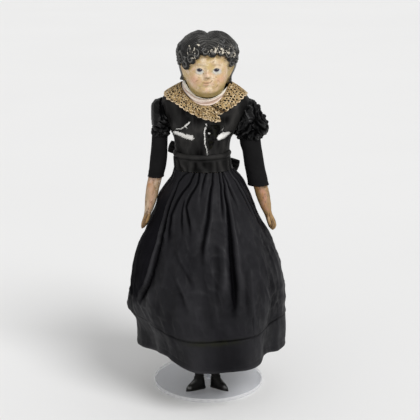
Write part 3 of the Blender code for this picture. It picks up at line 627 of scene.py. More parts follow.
def head_piece():
    rows = np.array(HEAD_ROWS, float)
    length = np.concatenate([[0], np.cumsum(np.hypot(np.diff(rows[:, 3]), np.diff(rows[:, 0])))])
    s = np.concatenate([np.linspace(0, length[-5], 236)[:-1], np.linspace(length[-5], length[-1], 18)])
    z, cx, yc, a, yf, yb = (curve(s, length, rows[:, k])[:, None] for k in range(6))
    v = np.linspace(-0.5, 0.5, 352, endpoint=False)[None, :]
    t = TAU * v - 0.55 * np.sin(TAU * v)
    sn, cs = np.sin(t), np.cos(t)
    e = 2 / (2.0 + 0.28 * step(z, 412, 424) * (1 - step(z, 470, 486)))
    x = cx + a * np.sign(sn) * np.abs(sn) ** e
    y = np.where(cs > 0, yc - (yc - yf) * np.abs(cs) ** e, yc + (yb - yc) * np.abs(cs) ** e)
    z = z + 0 * t
    P = pts(x, y, z)
    X, front = x - FACE_X, step(cs, -0.05, 0.35)
    z0 = z.copy()

    def spot(px, pz, sx, sz):
        return np.exp(-(((X - px) / sx) ** 2) - ((z0 - pz) / sz) ** 2)

    D = 0.0
    eye_x = {-1: -9.8, 1: 11.4}
    white = iris = dark = brow = 0.0
    for side, ex in eye_x.items():
        D = D - 1.7 * spot(ex, 450.4, 7.4, 5.0) + 2.0 * spot(ex, 449.9, 4.9, 3.4)
        upper = 449.9 + 2.75 * (1 - ((X - ex) / 5.0) ** 2)
        lower = 449.5 - 3.5 * (1 - ((X - ex) / 4.8) ** 2)
        within = np.abs(X - ex) < 6.2
        D = D + np.where(within, 0.75 * hump(z0 - upper - 0.5, 0.75), 0) * hump(X - ex, 5.4)
        D = D + np.where(within, 0.40 * hump(z0 - lower + 0.4, 0.8), 0) * hump(X - ex, 5.0)
        below = np.where(z0 < 450.4, (450.4 - z0) / 7.0, (z0 - 450.4) / 3.5)
        about = np.sqrt(((X - ex - 0.4) / (8.0 if side > 0 else 6.6)) ** 2 + below**2)
        opening = step(upper - z0, -0.3, 0.5)
        white = np.maximum(white, (1 - step(about, 0.50, 1.12)) * (0.84 + 0.4 * noise(P / 2.4, 27)) * np.where(z0 > upper + 0.2, 0.45, 1.0))
        d = np.hypot((X - ex) / 1.26, (z0 - 450.9) * 1.10)
        glint = 1 - step(np.hypot(X - ex - 1.0, z0 - 451.7), 0.3, 0.75)
        iris = np.maximum(iris, (1 - step(d, 2.3, 3.2)) * opening * (1 - 0.7 * glint))
        dark = np.maximum(dark, (1 - step(d, 1.2, 2.2)) * opening * (1 - glint))
        dark = np.maximum(dark, 0.55 * hump(z0 - upper, 0.6) * hump(X - ex, 4.4))
        arc = 456.0 + 1.0 * np.cos((X - ex) / 6.0) - 0.02 * (X - ex) ** 2
        brow = np.maximum(brow, 0.42 * hump(z0 - arc, 1.0) * (1 - step(np.abs(X - ex), 4.5, 7.5)))
        D = D + 1.9 * spot(side * 17.0, 438.0, 9.0, 8.0) + 0.8 * spot(side * 3.0, 442.8, 1.8, 1.7)
    nose_z = [438.8, 440.4, 442.2, 443.8, 447.5, 451, 455, 459, 464]
    D = D + curve(z0, nose_z, [0, 1.6, 4.9, 5.0, 3.5, 2.3, 1.5, 0.6, 0.0]) * np.exp(-((X / curve(z0, nose_z, [3.2, 3.4, 3.4, 3.2, 2.6, 2.4, 2.8, 4.0, 5.0])) ** 2))
    M = X + 1.2
    mouth = 434.2 + 0.028 * M**2 - 0.0009 * M**4
    D = D + 1.3 * spot(0, 434.3, 9.5, 6.0)
    D = D + 1.15 * hump(z0 - mouth - 1.5, 1.15) * np.exp(-((M / 4.9) ** 4)) * (1 - 0.25 * hump(M, 0.9))
    D = D + 1.25 * hump(z0 - mouth + 1.6, 1.25) * np.exp(-((M / 4.0) ** 4))
    D = D - 0.95 * hump(z0 - mouth, 0.55) * np.exp(-((M / 5.2) ** 4))
    D = D - 0.45 * spot(0, 438.4, 1.0, 1.5) - 1.0 * spot(0, 429.0, 6.5, 1.9) + 1.8 * spot(0, 423.4, 7.6, 5.2)
    D = D - 0.8 * hump(z0 - 419.4 - 0.010 * X**2, 1.2) * np.exp(-((X / 15) ** 4))
    D = D + 0.7 * spot(0, 463.5, 13, 6.0)
    lip = np.maximum(0.60 * hump(z0 - mouth - 1.0, 1.0) * np.exp(-((M / 4.9) ** 4)), 0.55 * hump(z0 - mouth + 1.4, 1.3) * np.exp(-(((M + 0.4) / 4.2) ** 4)))
    dark = np.maximum(dark, 0.5 * hump(z0 - mouth, 0.4) * np.exp(-((M / 4.8) ** 4)))
    # painted shade in the nostrils
    nostril = np.maximum(np.exp(-(((X - 1.9) / 1.0) ** 2) - ((z0 - 441.0) / 0.75) ** 2), np.exp(-(((X + 1.9) / 1.0) ** 2) - ((z0 - 441.0) / 0.75) ** 2))
    dark = np.maximum(dark, 0.55 * nostril)
    P[..., 1] -= D * front
    for m in (white, iris, dark, brow, lip):
        m *= front > 0.5

    # ears, low relief on the sides of the head
    back = np.degrees(np.abs(t)) + 0 * z0
    ear = ((back - 75.5) / 6.4) ** 2 + ((z0 - 446.4) / 8.0) ** 2
    N = normals(P, True)
    lift = 1.5 * np.exp(-(((np.sqrt(ear) - 0.72) / 0.34) ** 2)) + 0.9 * np.exp(-ear * 2.2) * step(z0, 438, 446)
    # painted shade in the hollow of the ear
    ear_dark = 0.5 * hump(np.sqrt(ear) - 0.36, 0.2) * (ear < 0.5)

    # hair: two smooth wings from a centre parting, then rows of moulded curls down to the hairline
    wrinkle = 0.9 * noise(P / 5.0, 3)
    edge = np.where(back < 81, curve(np.clip(x - 0.0, -36, 35), [p[0] for p in HAIRLINE_FRONT], [p[1] for p in HAIRLINE_FRONT]), curve(np.clip(back, 78, 180), [p[0] for p in HAIRLINE_BACK], [p[1] for p in HAIRLINE_BACK]))
    edge = edge + wrinkle * 0.6 - 5.0 * bell(np.degrees(t), 100, 11, 14) - 2.0 * bell(np.degrees(t), -100, 11, 14)
    hair = step(z0 - edge, -0.7, 0.7)
    A = 37.0 * t + 0 * z0
    centres = []

    def hair_edge(arc):
        th = arc / 37.0
        if abs(th) < math.pi / 2:
            return float(curve(np.clip(35.0 * math.sin(th) - 0.9, -36, 35), [p[0] for p in HAIRLINE_FRONT], [p[1] for p in HAIRLINE_FRONT]))
        return float(curve(np.clip(abs(math.degrees(th)), 78, 180), [p[0] for p in HAIRLINE_BACK], [p[1] for p in HAIRLINE_BACK]))

    rank = 0
    for row, (rise, pitch, shift) in enumerate(((3.6, 8.6, 0.0), (11.4, 9.0, 4.3), (19.2, 9.2, 0.4), (27.0, 9.4, 4.6), (35.0, 9.6, 1.0), (43.0, 9.8, 5.0))):
        n = int(2 * 114 / pitch)
        for i in range(n + 1):
            arc = -114 + shift + i * pitch
            j = chance(3, 100 + rank)
            rank += 1
            zc = hair_edge(arc) + rise + (j[0] - 0.5) * 2.8
            top = 471.5 + 3.0 * hump(abs(arc) - 60, 40) + 4.0 * step(abs(arc), 70, 100)
            if row and abs(arc) < 20:
                top = 476.0
            if zc > top or zc < 430 or (row > 1 and abs(arc) < 14):
                continue
            centres.append((arc + (j[1] - 0.5) * 3.2, zc, 4.4 + 2.2 * j[2], 1 if j[1] > 0.45 else -1, j[0] * TAU, row == 0))
    curls = np.zeros_like(z0)
    swirl = np.zeros_like(z0)
    disc = np.zeros_like(z0)
    for arc, zc, r, hand, turn, first in centres:
        da, dz = A - arc, z0 - zc
        d = np.hypot(da, dz) / r
        near = d < 1.0
        if not near.any():
            continue
        if first:
            disc = np.maximum(disc, 1 - step(d, 0.86, 0.98))
        phase = np.arctan2(dz, da) * hand + TAU * 1.3 * d + turn
        h = np.sqrt(np.clip(1 - d**2, 0, 1)) * (2.6 + 1.5 * np.cos(phase) * step(d, 0.05, 0.3))
        take = near & (h > curls)
        curls = np.where(take, h, curls)
        swirl = np.where(take, 0.5 + 0.5 * np.cos(phase), swirl)
    part = X + 0.4
    wings = step(z0, 470, 479) * (1 - step(back, 150, 178) * 0.4)
    grain = 0.6 * np.sin((P[..., 1] + 0.45 * np.abs(part) + 2.4 * noise(P / 7.0, 8)) * TAU / 3.1) + 0.4 * np.sin((P[..., 1] + 0.5 * np.abs(part) + 2.0 * noise(P / 5.0, 9)) * TAU / 1.5)
    curls = curls * (1 - 0.42 * bell(back, 94, 26, 24) * step(z0, 450, 456))
    thick = 3.4 + 3.6 * (1 - hump(part, 8.5)) * step(z0, 460, 480) + 0.6 * step(back, 60, 120)
    thick = thick - 1.3 * hump(part, 1.5) * step(z0, 468, 474) * (P[..., 1] < -14)
    thick = thick + wings * (0.42 * grain + 1.3 * noise(P / 9.0, 21)) + (1 - wings) * (curls + 0.35 * noise(P / 2.2, 5))
    gate = np.maximum(step(z0 - edge, 0.6, 2.6), disc)
    hair = np.maximum(step(z0 - edge, 0.6, 1.6), step(disc, 0.2, 0.6))
    thick = thick * gate
    nape = step(back, 74, 86) * (1 - step(z0, 450, 459))
    thick = thick * (1 - nape * (0.74 - 0.40 * step(back, 112, 138)))
    strip = bell(back, 96, 10, 24) * step(z0, 431, 436) * (1 - step(z0, 456, 466))
    thick = np.maximum(thick, 4.4 * strip * gate)
    thick = thick + 7.0 * np.exp(-(((np.degrees(t) - 99) / 11.0) ** 2) - ((z0 - 431.0) / 4.4) ** 2) * (0.85 + 0.5 * noise(P / 3.0, 23)) * gate
    thick = thick + 3.6 * np.exp(-(((np.degrees(t) + 99) / 9.0) ** 2) - ((z0 - 436.0) / 3.0) ** 2) * (0.85 + 0.5 * noise(P / 3.0, 23)) * gate
    P = P + N * (np.where(hair > 0.02, thick, 0) + (1 - hair) * lift)[..., None]
    P = P + N * (0.10 * fbm(P / 2.6, 3, 31) * step(z0, 400, 420))[..., None]
    # ridge: the crests of the wings and curls, given painted highlight and, in the grooves, painted shade
    ridge = np.clip(wings * (0.5 + 0.35 * grain + 0.3 * noise(P / 9.0, 21)) + (1 - wings) * np.clip(curls / 3.0, 0, 1) * (0.35 + 0.65 * swirl), 0, 1)
    above = z0 - edge
    patch = 1.0 * np.exp(-(((X - 9) / 6.5) ** 2) - ((z0 - 471.5) / 3.0) ** 2) + 0.9 * np.exp(-(((X - 20) / 5.5) ** 2) - ((z0 - 470.5) / 4.6) ** 2) + 0.8 * np.exp(-(((X - 28) / 3) ** 2) - ((z0 - 466) / 4) ** 2)
    patch = patch + 0.5 * 0.7 * np.exp(-(((X + 13) / 8) ** 2) - ((z0 - 470) / 7) ** 2) + 0.3 * np.exp(-(((X - 10) / 22) ** 2) - ((z0 - 470) / 10) ** 2)
    flakes = np.zeros_like(z0)
    for fx, fz, fw, fh in ((-9.9, 476.6, 1.1, 0.8), (-14.0, 472.2, 0.7, 1.2), (-13.4, 465.0, 0.45, 1.3), (-19.4, 475.0, 0.6, 0.6), (-20.5, 468.4, 0.4, 1.0), (-15.6, 464.2, 0.9, 0.4)):
        flakes = np.maximum(flakes, 1.3 * np.exp(-(((X - fx) / fw) ** 2) - ((z0 - fz) / fh) ** 2))
    grains = 0.58 * noise(P / 1.6, 51) + 0.46 * noise(P / 0.8, 52)
    chips = np.clip((0.62 * np.clip(patch, 0, 1) * np.clip(0.5 + 0.8 * ridge, 0, 1.2) + flakes + grains * 0.75 - 0.16) * step(np.clip(patch, 0, 1) + flakes, 0.06, 0.3), 0, 1) * front
    blush = np.clip(0.62 * spot(-16.5, 438.5, 7.5, 6.0) + 0.62 * spot(17.5, 438.5, 7.5, 6.0) + 0.25 * spot(0, 424, 6, 4) + 0.16 * spot(0, 441, 4, 3), 0, 1) * front
    shade = np.clip(0.9 * (1 - step(z0 - 0.012 * X**2, 415.5, 424.0)) + (0.80 - 0.45 * (X < 0) * step(z0, 434, 442)) * step(np.abs(X + 1.1) / curve(z0, [410, 417, 421, 426, 432, 440, 448, 455, 470, 490], [2, 5, 10.5, 15.8, 19.8, 23.8, 26.4, 28.0, 31.0, 33.0]), 0.88, 1.35) + 0.35 * hump(z0 - 420.0 - 0.010 * X**2, 2.0) * (np.abs(X) < 19) + 0.45 * hump(z0 - 441.2, 1.8) * hump(X, 4.0) + 0.30 * hump(above + 1.6, 2.0) + (0.55 * spot(-11.5, 430.0, 5.0, 4.6) + 0.45 * spot(12.5, 428.6, 6.0, 4.4)) * step(noise(P / 3.4, 83), -0.35, 0.35), 0, 1)
    wear = np.clip(0.35 + 0.8 * step(noise(P / 9.0, 61), 0.0, 0.5) + 0.9 * spot(0.0, 465.5, 5.0, 2.0) + 0.6 * spot(10, 432, 6, 5), 0, 1)
    dark = np.maximum(dark, ear_dark)
    # cracks and scratches in the paint, and painted shade under the tip of the nose
    scar_and_shade = np.zeros_like(z0)
    for line, half in (([(-3.2, 466.4), (0.0, 465.4), (2.6, 466.2)], 0.5), ([(-1.0, 463.6), (2.4, 463.2)], 0.4), ([(2.8, 434.8), (5.8, 437.4)], 0.5), ([(-16.0, 447.6), (-13.8, 446.0)], 0.35), ([(6.4, 460.4), (8.8, 461.8)], 0.35), ([(-5.0, 446.6), (-4.4, 444.8)], 0.7), ([(9.5, 428.0), (13.0, 430.6)], 0.4), ([(-0.8, 441.6), (0.9, 440.6)], 0.8), ([(-14.5, 436.5), (-11.5, 438.0)], 0.6), ([(12.6, 437.6), (14.8, 436.2)], 0.4)):
        scar_and_shade = np.maximum(scar_and_shade, (0.75 + 0.5 * noise(P / 1.2, 71)) * hump(near_line(X, z0, line), half) * front)
    o = body("papier_mache_shoulder_head", P, LOOK["head"], {"hair": hair, "white": white, "iris": iris, "dark": np.clip(dark, 0, 1), "brow": brow, "lip": lip, "blush": blush, "shade": shade, "wear": wear, "chips": chips, "ridge": ridge, "scar_and_shade": np.clip(scar_and_shade, 0, 1)}, close=(True, False))
    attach(o, "doll")
    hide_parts("shoulder_head")
    return o


head_piece()


# ---- bodice surface ------------------------------------------------------------------
BODICE_ROWS = [
    # height share, cx, half width, front depth, back depth, z at front, side and back
    (0.00, -7.0, 35.4, 28.6, 28.6, 317.5, 317.5, 317.5),
    (0.08, -8.0, 35.0, 28.3, 28.3, 326.0, 326.0, 326.0),
    (0.16, -8.0, 35.0, 28.6, 28.6, 335.0, 335.0, 335.0),
    (0.30, -7.6, 35.9, 30.2, 29.8, 350.0, 349.0, 350.0),
    (0.40, -7.2, 37.4, 31.4, 30.6, 360.0, 357.5, 360.0),
    (0.50, -6.4, 41.6, 32.2, 31.0, 371.0, 366.5, 370.0),
    (0.60, -5.2, 47.6, 32.4, 31.0, 381.0, 379.0, 380.0),
    (0.70, -3.8, 54.4, 32.2, 30.4, 389.6, 395.0, 389.0),
    (0.78, -3.3, 56.6, 31.8, 29.6, 394.8, 406.0, 397.0),
    (0.84, -3.2, 53.4, 31.3, 28.8, 398.0, 411.8, 403.0),
    (0.92, -2.8, 44.0, 30.6, 27.6, 401.4, 419.8, 411.4),
    (1.00, -2.0, 32.6, 29.6, 25.6, 404.4, 426.6, 420.0),
    (1.08, -1.6, 27.6, 27.0, 22.6, 406.6, 429.6, 423.0),
]


def drape(t, zf, zs, zb):
    mid = (zf + zb) / 2
    return (mid + zs) / 2 - (zb - zf) / 2 * np.cos(t) + (mid - zs) / 2 * np.cos(2 * t)


def bodice_at(t, u):
    rows = np.array(BODICE_ROWS, float)
    cx, a, bf, bb, zf, zs, zb = (curve(u, rows[:, 0], rows[:, k]) for k in range(1, 8))
    e = 2 / (2.0 + 0.35 * step(u, 0.35, 0.6))
    s, c = np.sin(t), np.cos(t)
    b = np.where(c > 0, bf, bb)
    x = cx + a * np.sign(s) * np.abs(s) ** e
    y = DOLL_Y - b * np.sign(c) * np.abs(c) ** e
    return pts(x, y, drape(t, zf, zs, zb))


def in_polygon(x, y, polygon):
    inside = np.zeros(np.broadcast(x, y).shape, bool)
    n = len(polygon)
    for i in range(n):
        x0, y0 = polygon[i]
        x1, y1 = polygon[(i + 1) % n]
        cross = (y0 > y) != (y1 > y)
        at = x0 + (y - y0) * (x1 - x0) / (y1 - y0 if y1 != y0 else 1e-9)
        inside ^= cross & (x < at)
    return inside


SPLIT_RIGHT = [(-48.4, 358.6), (-46.4, 366.4), (-41.0, 369.4), (-30.0, 366.6), (-20.0, 365.0), (-17.6, 361.6), (-20.6, 359.4), (-29.6, 361.2), (-40.0, 364.2), (-44.4, 363.4)]
SPLIT_LEFT = [(10.2, 361.4), (12.4, 364.8), (19.2, 368.8), (27.0, 367.8), (30.6, 366.6), (21.4, 360.6), (14.5, 358.6)]
SLITS = [
    ([(-41.4, 372.4), (-34.6, 373.0), (-28.8, 378.0), (-23.8, 382.6)], 0.36),
    ([(-29.6, 376.6), (-27.0, 374.6)], 0.36),
    ([(20.4, 377.0), (18.0, 371.2)], 0.35),
    ([(0.0, 369.4), (2.4, 367.4)], 0.45),
]
OPENING = [(-2.2, 384.0), (-2.4, 378.6), (-4.7, 369.8), (-4.1, 361.5), (-4.1, 354.3), (-1.9, 348.4), (-0.8, 340.6), (-1.2, 334.0)]


def bodice_pieces():
    cols, rows = 384, 132
    t = np.linspace(-math.pi, math.pi, cols + 1)[None, :]
    u = np.linspace(1.0, 0.0, rows)[:, None]
    P = bodice_at(t, u)
    N = normals(P, False)
    x, z = P[..., 0], P[..., 2]
    front = np.cos(t) > 0
    # soft wrinkles: pulled from the waist and toward the armholes
    pull = creases(pts(x / 13.0, P[..., 1] / 13.0, z / 30.0), 2, 5) - 0.5
    D = 0.9 * pull * step(z, 318, 345) * (1 - step(z, 398, 408)) + 0.55 * noise(P / 15.0, 9)
    gathers = np.cos(t * 46 + 2.2 * noise(pts(t * 5, 0 * z, z / 25), 12)) * (1 - step(z, 334, 356))
    D = D + 0.16 * gathers
    seam = hump(np.degrees(np.abs(t)) - 92, 1.3) + 0.7 * hump(np.degrees(np.abs(t)) - 38 + (z - 350) * 0.12, 0.9) * (z < 372) * front
    D = D - 0.55 * seam
    lips = np.zeros_like(x)
    hole = np.zeros(x.shape, bool)
    ragged = 0.9 * noise(P / 1.6, 77) + 0.7 * noise(P / 3.6, 78)
    for polygon in (SPLIT_RIGHT, SPLIT_LEFT):
        hole |= in_polygon(x + ragged, z + 0.6 * ragged, polygon) & front
        lips = np.maximum(lips, hump(near_line(x, z, polygon + polygon[:1]), 2.0) * front)
    for line, half in SLITS:
        d = near_line(x, z, line)
        hole |= (d < half + 0.25 * ragged) & front
        lips = np.maximum(lips, 0.6 * hump(d, 1.6) * front)
    gap = near_line(x, z, OPENING)
    hole |= (gap < 0.40 + 0.25 * ragged) & front & (z > 335.0) & (z < 381)
    lips = np.maximum(lips, 0.7 * hump(gap, 1.8) * front * (z > 334))
    lips = np.where(front, lips, 0)
    D = D + 0.75 * lips * (0.6 + 0.6 * noise(P / 2.4, 90))
    P = P + N * D[..., None]
    # ridge: painted highlight where the wrinkles stand up, painted shade in their hollows
    ridge = np.clip(0.57 + 0.60 * pull + 0.26 * noise(P / 11.0, 18), 0, 1)
    # painted shade beside the sleeves, and darker towards the waistband
    sleeve_side = step(np.abs(x + 4.0) / np.interp(z, [318, 350, 366, 380, 395, 412], [60, 60, 50, 52, 58, 60]), 0.84, 1.0)
    ridge = np.clip(ridge - 0.22 * sleeve_side - 0.10 * (1 - step(z, 336, 352)), 0, 1)
    worn = in_polygon(x, z, [(-1.0, 380), (15.5, 379), (15.5, 372), (5.6, 350), (1.0, 345), (-1.2, 366)]) & front
    ridge = np.where(worn, np.clip(ridge - 0.52 + 0.45 * creases(P / 4.0, 2, 15), 0, 1), ridge)
    faded = np.where(worn, 0.65 * step(noise(P / 2.6, 16), 0.15, 0.5), 0.0) + 0.35 * lips * step(noise(P / 2.5, 17), -0.2, 0.4)
    keep = ~(hole[:-1, :-1] | hole[1:, :-1] | hole[:-1, 1:] | hole[1:, 1:])
    deg = np.degrees((t[0, :-1] + t[0, 1:]) / 2)
    mid = -2.2
    names = {
        "bodice_right_front": ((deg > -92) & (deg < 0))[None, :],
        "bodice_left_front": ((deg > 0) & (deg < 92))[None, :],
        "bodice_back": (np.abs(deg) > 92)[None, :],
    }
    side = {"bodice_right_front": None, "bodice_left_front": None}
    xm = (x[:-1, :-1] + x[1:, 1:]) / 2
    zm = (z[:-1, :-1] + z[1:, 1:]) / 2
    line = np.interp(zm, [p[1] for p in OPENING[::-1]], [p[0] for p in OPENING[::-1]])
    for name, chosen in names.items():
        if name == "bodice_back":
            mask = keep & chosen
        else:
            sector = (np.abs(deg) < 92)[None, :]
            mask = keep & sector & ((xm < line) if "right" in name else (xm >= line))
        o = cloth(name + "_silk", P, LOOK["bodice"], keep=mask, thick=0.5, attributes={"ridge": ridge, "seam": faded})
        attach(o, "doll")
        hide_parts(name)
    # white chemise beneath, seen through the splits
    u = np.linspace(0.70, 0.005, 90)[:, None]
    t2 = np.linspace(-math.pi, math.pi, 220, endpoint=False)[None, :]
    Q = bodice_at(t2, u)
    M = normals(Q, True)
    fold = creases(pts(Q[..., 0] / 9, Q[..., 1] / 9, Q[..., 2] / 22), 2, 33)
    Q = Q - M * (1.45 - 0.30 * fold - 0.22 * noise(Q / 6.0, 35))[..., None]
    o = cloth("chemise_cotton", Q, LOOK["cotton"], wrap=True, thick=0.35)
    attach(o, "doll")
    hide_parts("chemise")


bodice_pieces()


# ---- neckcloth and lace collar --------------------------------------------------------
def neckcloth_piece():
    cols, around = 300, 44
    t = np.linspace(-math.pi, math.pi, cols, endpoint=False)[None, :]
    v = np.linspace(0, 1, around, endpoint=False)[:, None]
    # the band's section is a flat loop: down the outside, back up the inside
    outer = step(v, 0.0, 0.06) * (1 - step(v, 0.5, 0.56))
    h = np.where(v < 0.53, v / 0.53, (1 - v) / 0.47)
    h = np.clip(h, 0, 1)
    rows = [(0.0, -1.5, 29.8, 31.4, 23.4, 412.8, 432.4, 429.0), (0.5, -1.7, 30.8, 32.0, 24.8, 408.8, 428.6, 425.0), (1.0, -1.9, 32.2, 32.8, 26.6, 404.2, 425.0, 420.6)]
    rows = np.array(rows)
    cx, a, bf, bb, zf, zs, zb = (curve(h, rows[:, 0], rows[:, k]) for k in range(1, 8))
    inset = (1 - outer) * 1.7
    lines = noise(pts(t * 1.6, h * 2.4, 0 * t), 5)
    pleat = 1.0 * np.sin(TAU * (2.3 * h + 0.35 * lines + 0.25 * np.sin(t * 2 + 1.0))) * outer
    swell = 0.7 * noise(pts(t * 4, h * 2.0, 0 * t + 3), 8) * outer
    b = np.where(np.cos(t) > 0, bf, bb)
    slim = bell(np.degrees(t), 62, 30, 34)
    corner = bell(np.degrees(t), 70, 9, 6) * (1 - step(h, 0.35, 0.8))
    r = pleat + swell - inset - (1.6 + 1.8 * h) * slim + 1.1 * corner * outer
    x = cx + (a + r) * np.sin(t)
    y = DOLL_Y - (b + r) * np.cos(t)
    z = drape(t, zf, zs, zb) + 0.5 * noise(pts(t * 6, h, 0 * t + 9), 3) * (1 - h) + (3.4 * h - 1.2 * (1 - h)) * slim - 6.6 * bell(np.degrees(t), 88, 26, 44) * (1 - 0.4 * h) + 1.4 * corner
    P = pts(x, y, z)
    # edge: painted highlight along the top edge, the pleat crests and the corner
    edge = np.clip((1 - step(h, 0.14, 0.26)) + 0.25 * step(pleat, 0.2, 0.5) + corner, 0, 1) + 0 * t
    q = quads_of(around, cols, True).reshape(-1, 4).tolist()
    last, first = (around - 1) * cols + np.arange(cols), np.arange(cols)
    q += [(int(a0), int(b0), int(b1), int(a1)) for a0, b0, b1, a1 in zip(last, first, np.roll(first, -1), np.roll(last, -1))]
    # crease: painted shade in the pleat valleys
    o = make("neckcloth_satin", P.reshape(-1, 3), q, LOOK["satin"], {"edge": edge, "crease": np.clip(-2.0 * pleat - 1.0, 0, 1) * outer + 0 * t})
    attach(o, "doll")
    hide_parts("neckcloth")


def lace_piece():
    cols, rows = 760, 62
    w = np.linspace(0, 1, rows)[:, None]
    k = np.linspace(0, 1, cols)[None, :]
    start, end = math.radians(-3.0), math.radians(360)
    tip = np.radians(4.0 + 15.0 * w)
    t = start + (end + tip - start) * k
    wrapped = np.degrees((t + math.pi) % TAU - math.pi)
    deg = np.degrees(t)
    wide = curve(deg[0], [-3, 13, 25, 45, 75, 90, 135, 180, 225, 270, 285, 300, 317, 330, 343, 355, 366, 382], [15.5, 15.5, 15.0, 16.5, 22, 24, 22, 21, 22, 25, 24.5, 22, 20.4, 21.2, 22.6, 22.6, 21.0, 21.5])[None, :]
    wide = wide + 5.0 * bell((deg + 180) % 360 - 180, 62, 34, 40)[:1]
    # walk down the bodice from the neck by arc length
    high = 1.0 + 0.075 * bell((deg[0] + 180) % 360 - 180, 62, 34, 40)[None, :]
    fine = high + (0.45 - high) * np.linspace(0, 1, 140)[:, None]
    walk = bodice_at(t[0][None, :], fine)
    dist = np.concatenate([np.zeros((1, cols)), np.cumsum(np.linalg.norm(np.diff(walk, axis=0), axis=-1), axis=0)])
    # a scalloped lower edge
    around = np.linalg.norm(np.diff(bodice_at(t[0], np.full(cols, 0.85)), axis=0), axis=1)
    run = np.concatenate([[0], np.cumsum(around)])[None, :]
    scallop = np.abs(np.sin(math.pi * run / 6.4)) ** 0.7
    reach = wide - 1.6 + 1.9 * scallop + 0.9 * noise(pts(run / 11.0, 0 * run, 0 * run), 4)
    d = reach * w - 0.4
    u = np.empty((rows, cols))
    for c in range(cols):
        u[:, c] = np.interp(d[:, c], dist[:, c], fine[:, c])
    P = bodice_at(t, u)
    N = normals(bodice_at(t, u), False)
    lift = 1.25 + 2.0 * step(deg, 335, 358) * step(w, 0.0, 0.12) + 0.9 * w
    wave = 0.9 * np.sin(run / 7.5 + 1.3 * np.sin(run / 19.0)) * w**1.5 + 0.7 * noise(pts(run / 6.0, w * 3, 0 * run), 17) * w
    # needle lace: eyelets in staggered rows, with thread round each
    row_of = d / 3.7
    band = np.floor(row_of)
    pitch = 4.2
    at = run / pitch + 0.5 * (band % 2) + 0.12 * noise(pts(run / 9.0, d / 5.0, 0 * d), 6)
    cell = np.floor(at)
    j = lattice(cell.astype(np.int64), band.astype(np.int64), np.zeros_like(cell).astype(np.int64), 5)
    j2 = lattice(cell.astype(np.int64) + 31, band.astype(np.int64) + 7, np.zeros_like(cell).astype(np.int64), 9)
    ex, ey = (at - cell - 0.5 + 0.12 * j2) * pitch, (row_of - band - 0.5 + 0.1 * j) * 3.7
    away = np.hypot(ex, ey)
    size = 1.32 + 0.40 * j
    size = np.where((j2 > 0.62) | (d < 1.6) | (reach - d < 1.7), 0, size)
    picot = np.hypot(((run / 1.6) % 1 - 0.5) * 1.6, reach - d - 1.05)
    hole = (away < size)
    small_at = np.hypot(((run / 1.75 + 0.25) % 1 - 0.5) * 1.75, ((d / 1.65) % 1 - 0.5) * 1.65)
    # thread: raised round each eyelet and along the picots, and painted lighter as a highlight
    thread = np.clip(hump(away - size - 0.35, 0.34) + 0.6 * hump(picot, 0.5) + 0.35 * (1 - step(small_at, 0.2, 0.7)), 0, 1)
    # rim: painted highlight along the lower edge and the overlapping end
    rim = np.maximum(step(w, 0.90, 0.97) + 0 * run, 0.8 * step(k, 0.9965, 0.9985) + 0 * w)
    P = P + N * (lift + wave + 0.30 * thread)[..., None]
    hole |= (small_at < 0.36) & (away > size + 0.7) & (j > -0.5)
    hole &= (w > 0.05) & (w < 0.94)
    count = hole.astype(int)
    keep = (count[:-1, :-1] + count[1:, :-1] + count[:-1, 1:] + count[1:, 1:]) < 3
    # under: painted shadow beside the overlapping end
    o = cloth("lace_collar_threads", P, LOOK["lace"], keep=keep, thick=0.4, attributes={"thread": thread, "rim": rim, "under": np.clip(np.exp(-(((deg - 6.5 - 15.0 * w) / 2.4) ** 2)) * (deg < 60), 0, 1)})
    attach(o, "doll")
    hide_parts("lace_collar")


neckcloth_piece()
lace_piece()


# ---- skirt ---------------------------------------------------------------------------
SKIRT_ROWS = [
    # z, cx, half width, half depth
    (331.0, -8.0, 37.4, 31.0),
    (318.0, -6.6, 38.0, 31.4),
    (313.0, -5.0, 40.2, 32.6),
    (302.0, -2.0, 47.2, 40.4),
    (291.0, -3.0, 54.0, 47.6),
    (280.0, -3.6, 60.0, 54.2),
    (258.6, -2.8, 67.6, 65.6),
    (231.0, -2.6, 81.4, 79.6),
    (208.6, -2.8, 91.4, 88.8),
    (186.0, -2.8, 97.4, 95.8),
    (157.7, -2.4, 102.4, 100.8),
    (129.0, -3.6, 105.4, 103.8),
    (111.0, -2.2, 105.2, 104.4),
    (90.0, 1.0, 103.4, 104.6),
    (69.5, 1.4, 102.4, 104.4),
    (60.0, 1.4, 102.2, 104.4),
]


def skirt_base(t, z):
    cx, a, b = (down(z, SKIRT_ROWS, k) for k in (1, 2, 3))
    e = 2 / 2.06
    s, c = np.sin(t), np.cos(t)
    return pts(cx + a * np.sign(s) * np.abs(s) ** e, DOLL_Y - b * np.sign(c) * np.abs(c) ** e, z + 0 * t)


def on_skirt(px, py):
    """The angle and height where a line of sight meets the skirt."""
    d = sight(px, py)
    for k in np.linspace(1250, 1480, 1400):
        p = EYE + d * k
        z = min(max(p[2], 60.0), 331.0)
        cx, a, b = (float(down(z, SKIRT_ROWS, i)) for i in (1, 2, 3))
        if ((p[0] - cx) / a) ** 2 + ((p[1] - DOLL_Y) / b) ** 2 <= 1:
            return math.atan2((p[0] - cx) / a, -(p[1] - DOLL_Y) / b), p[2]
    return None


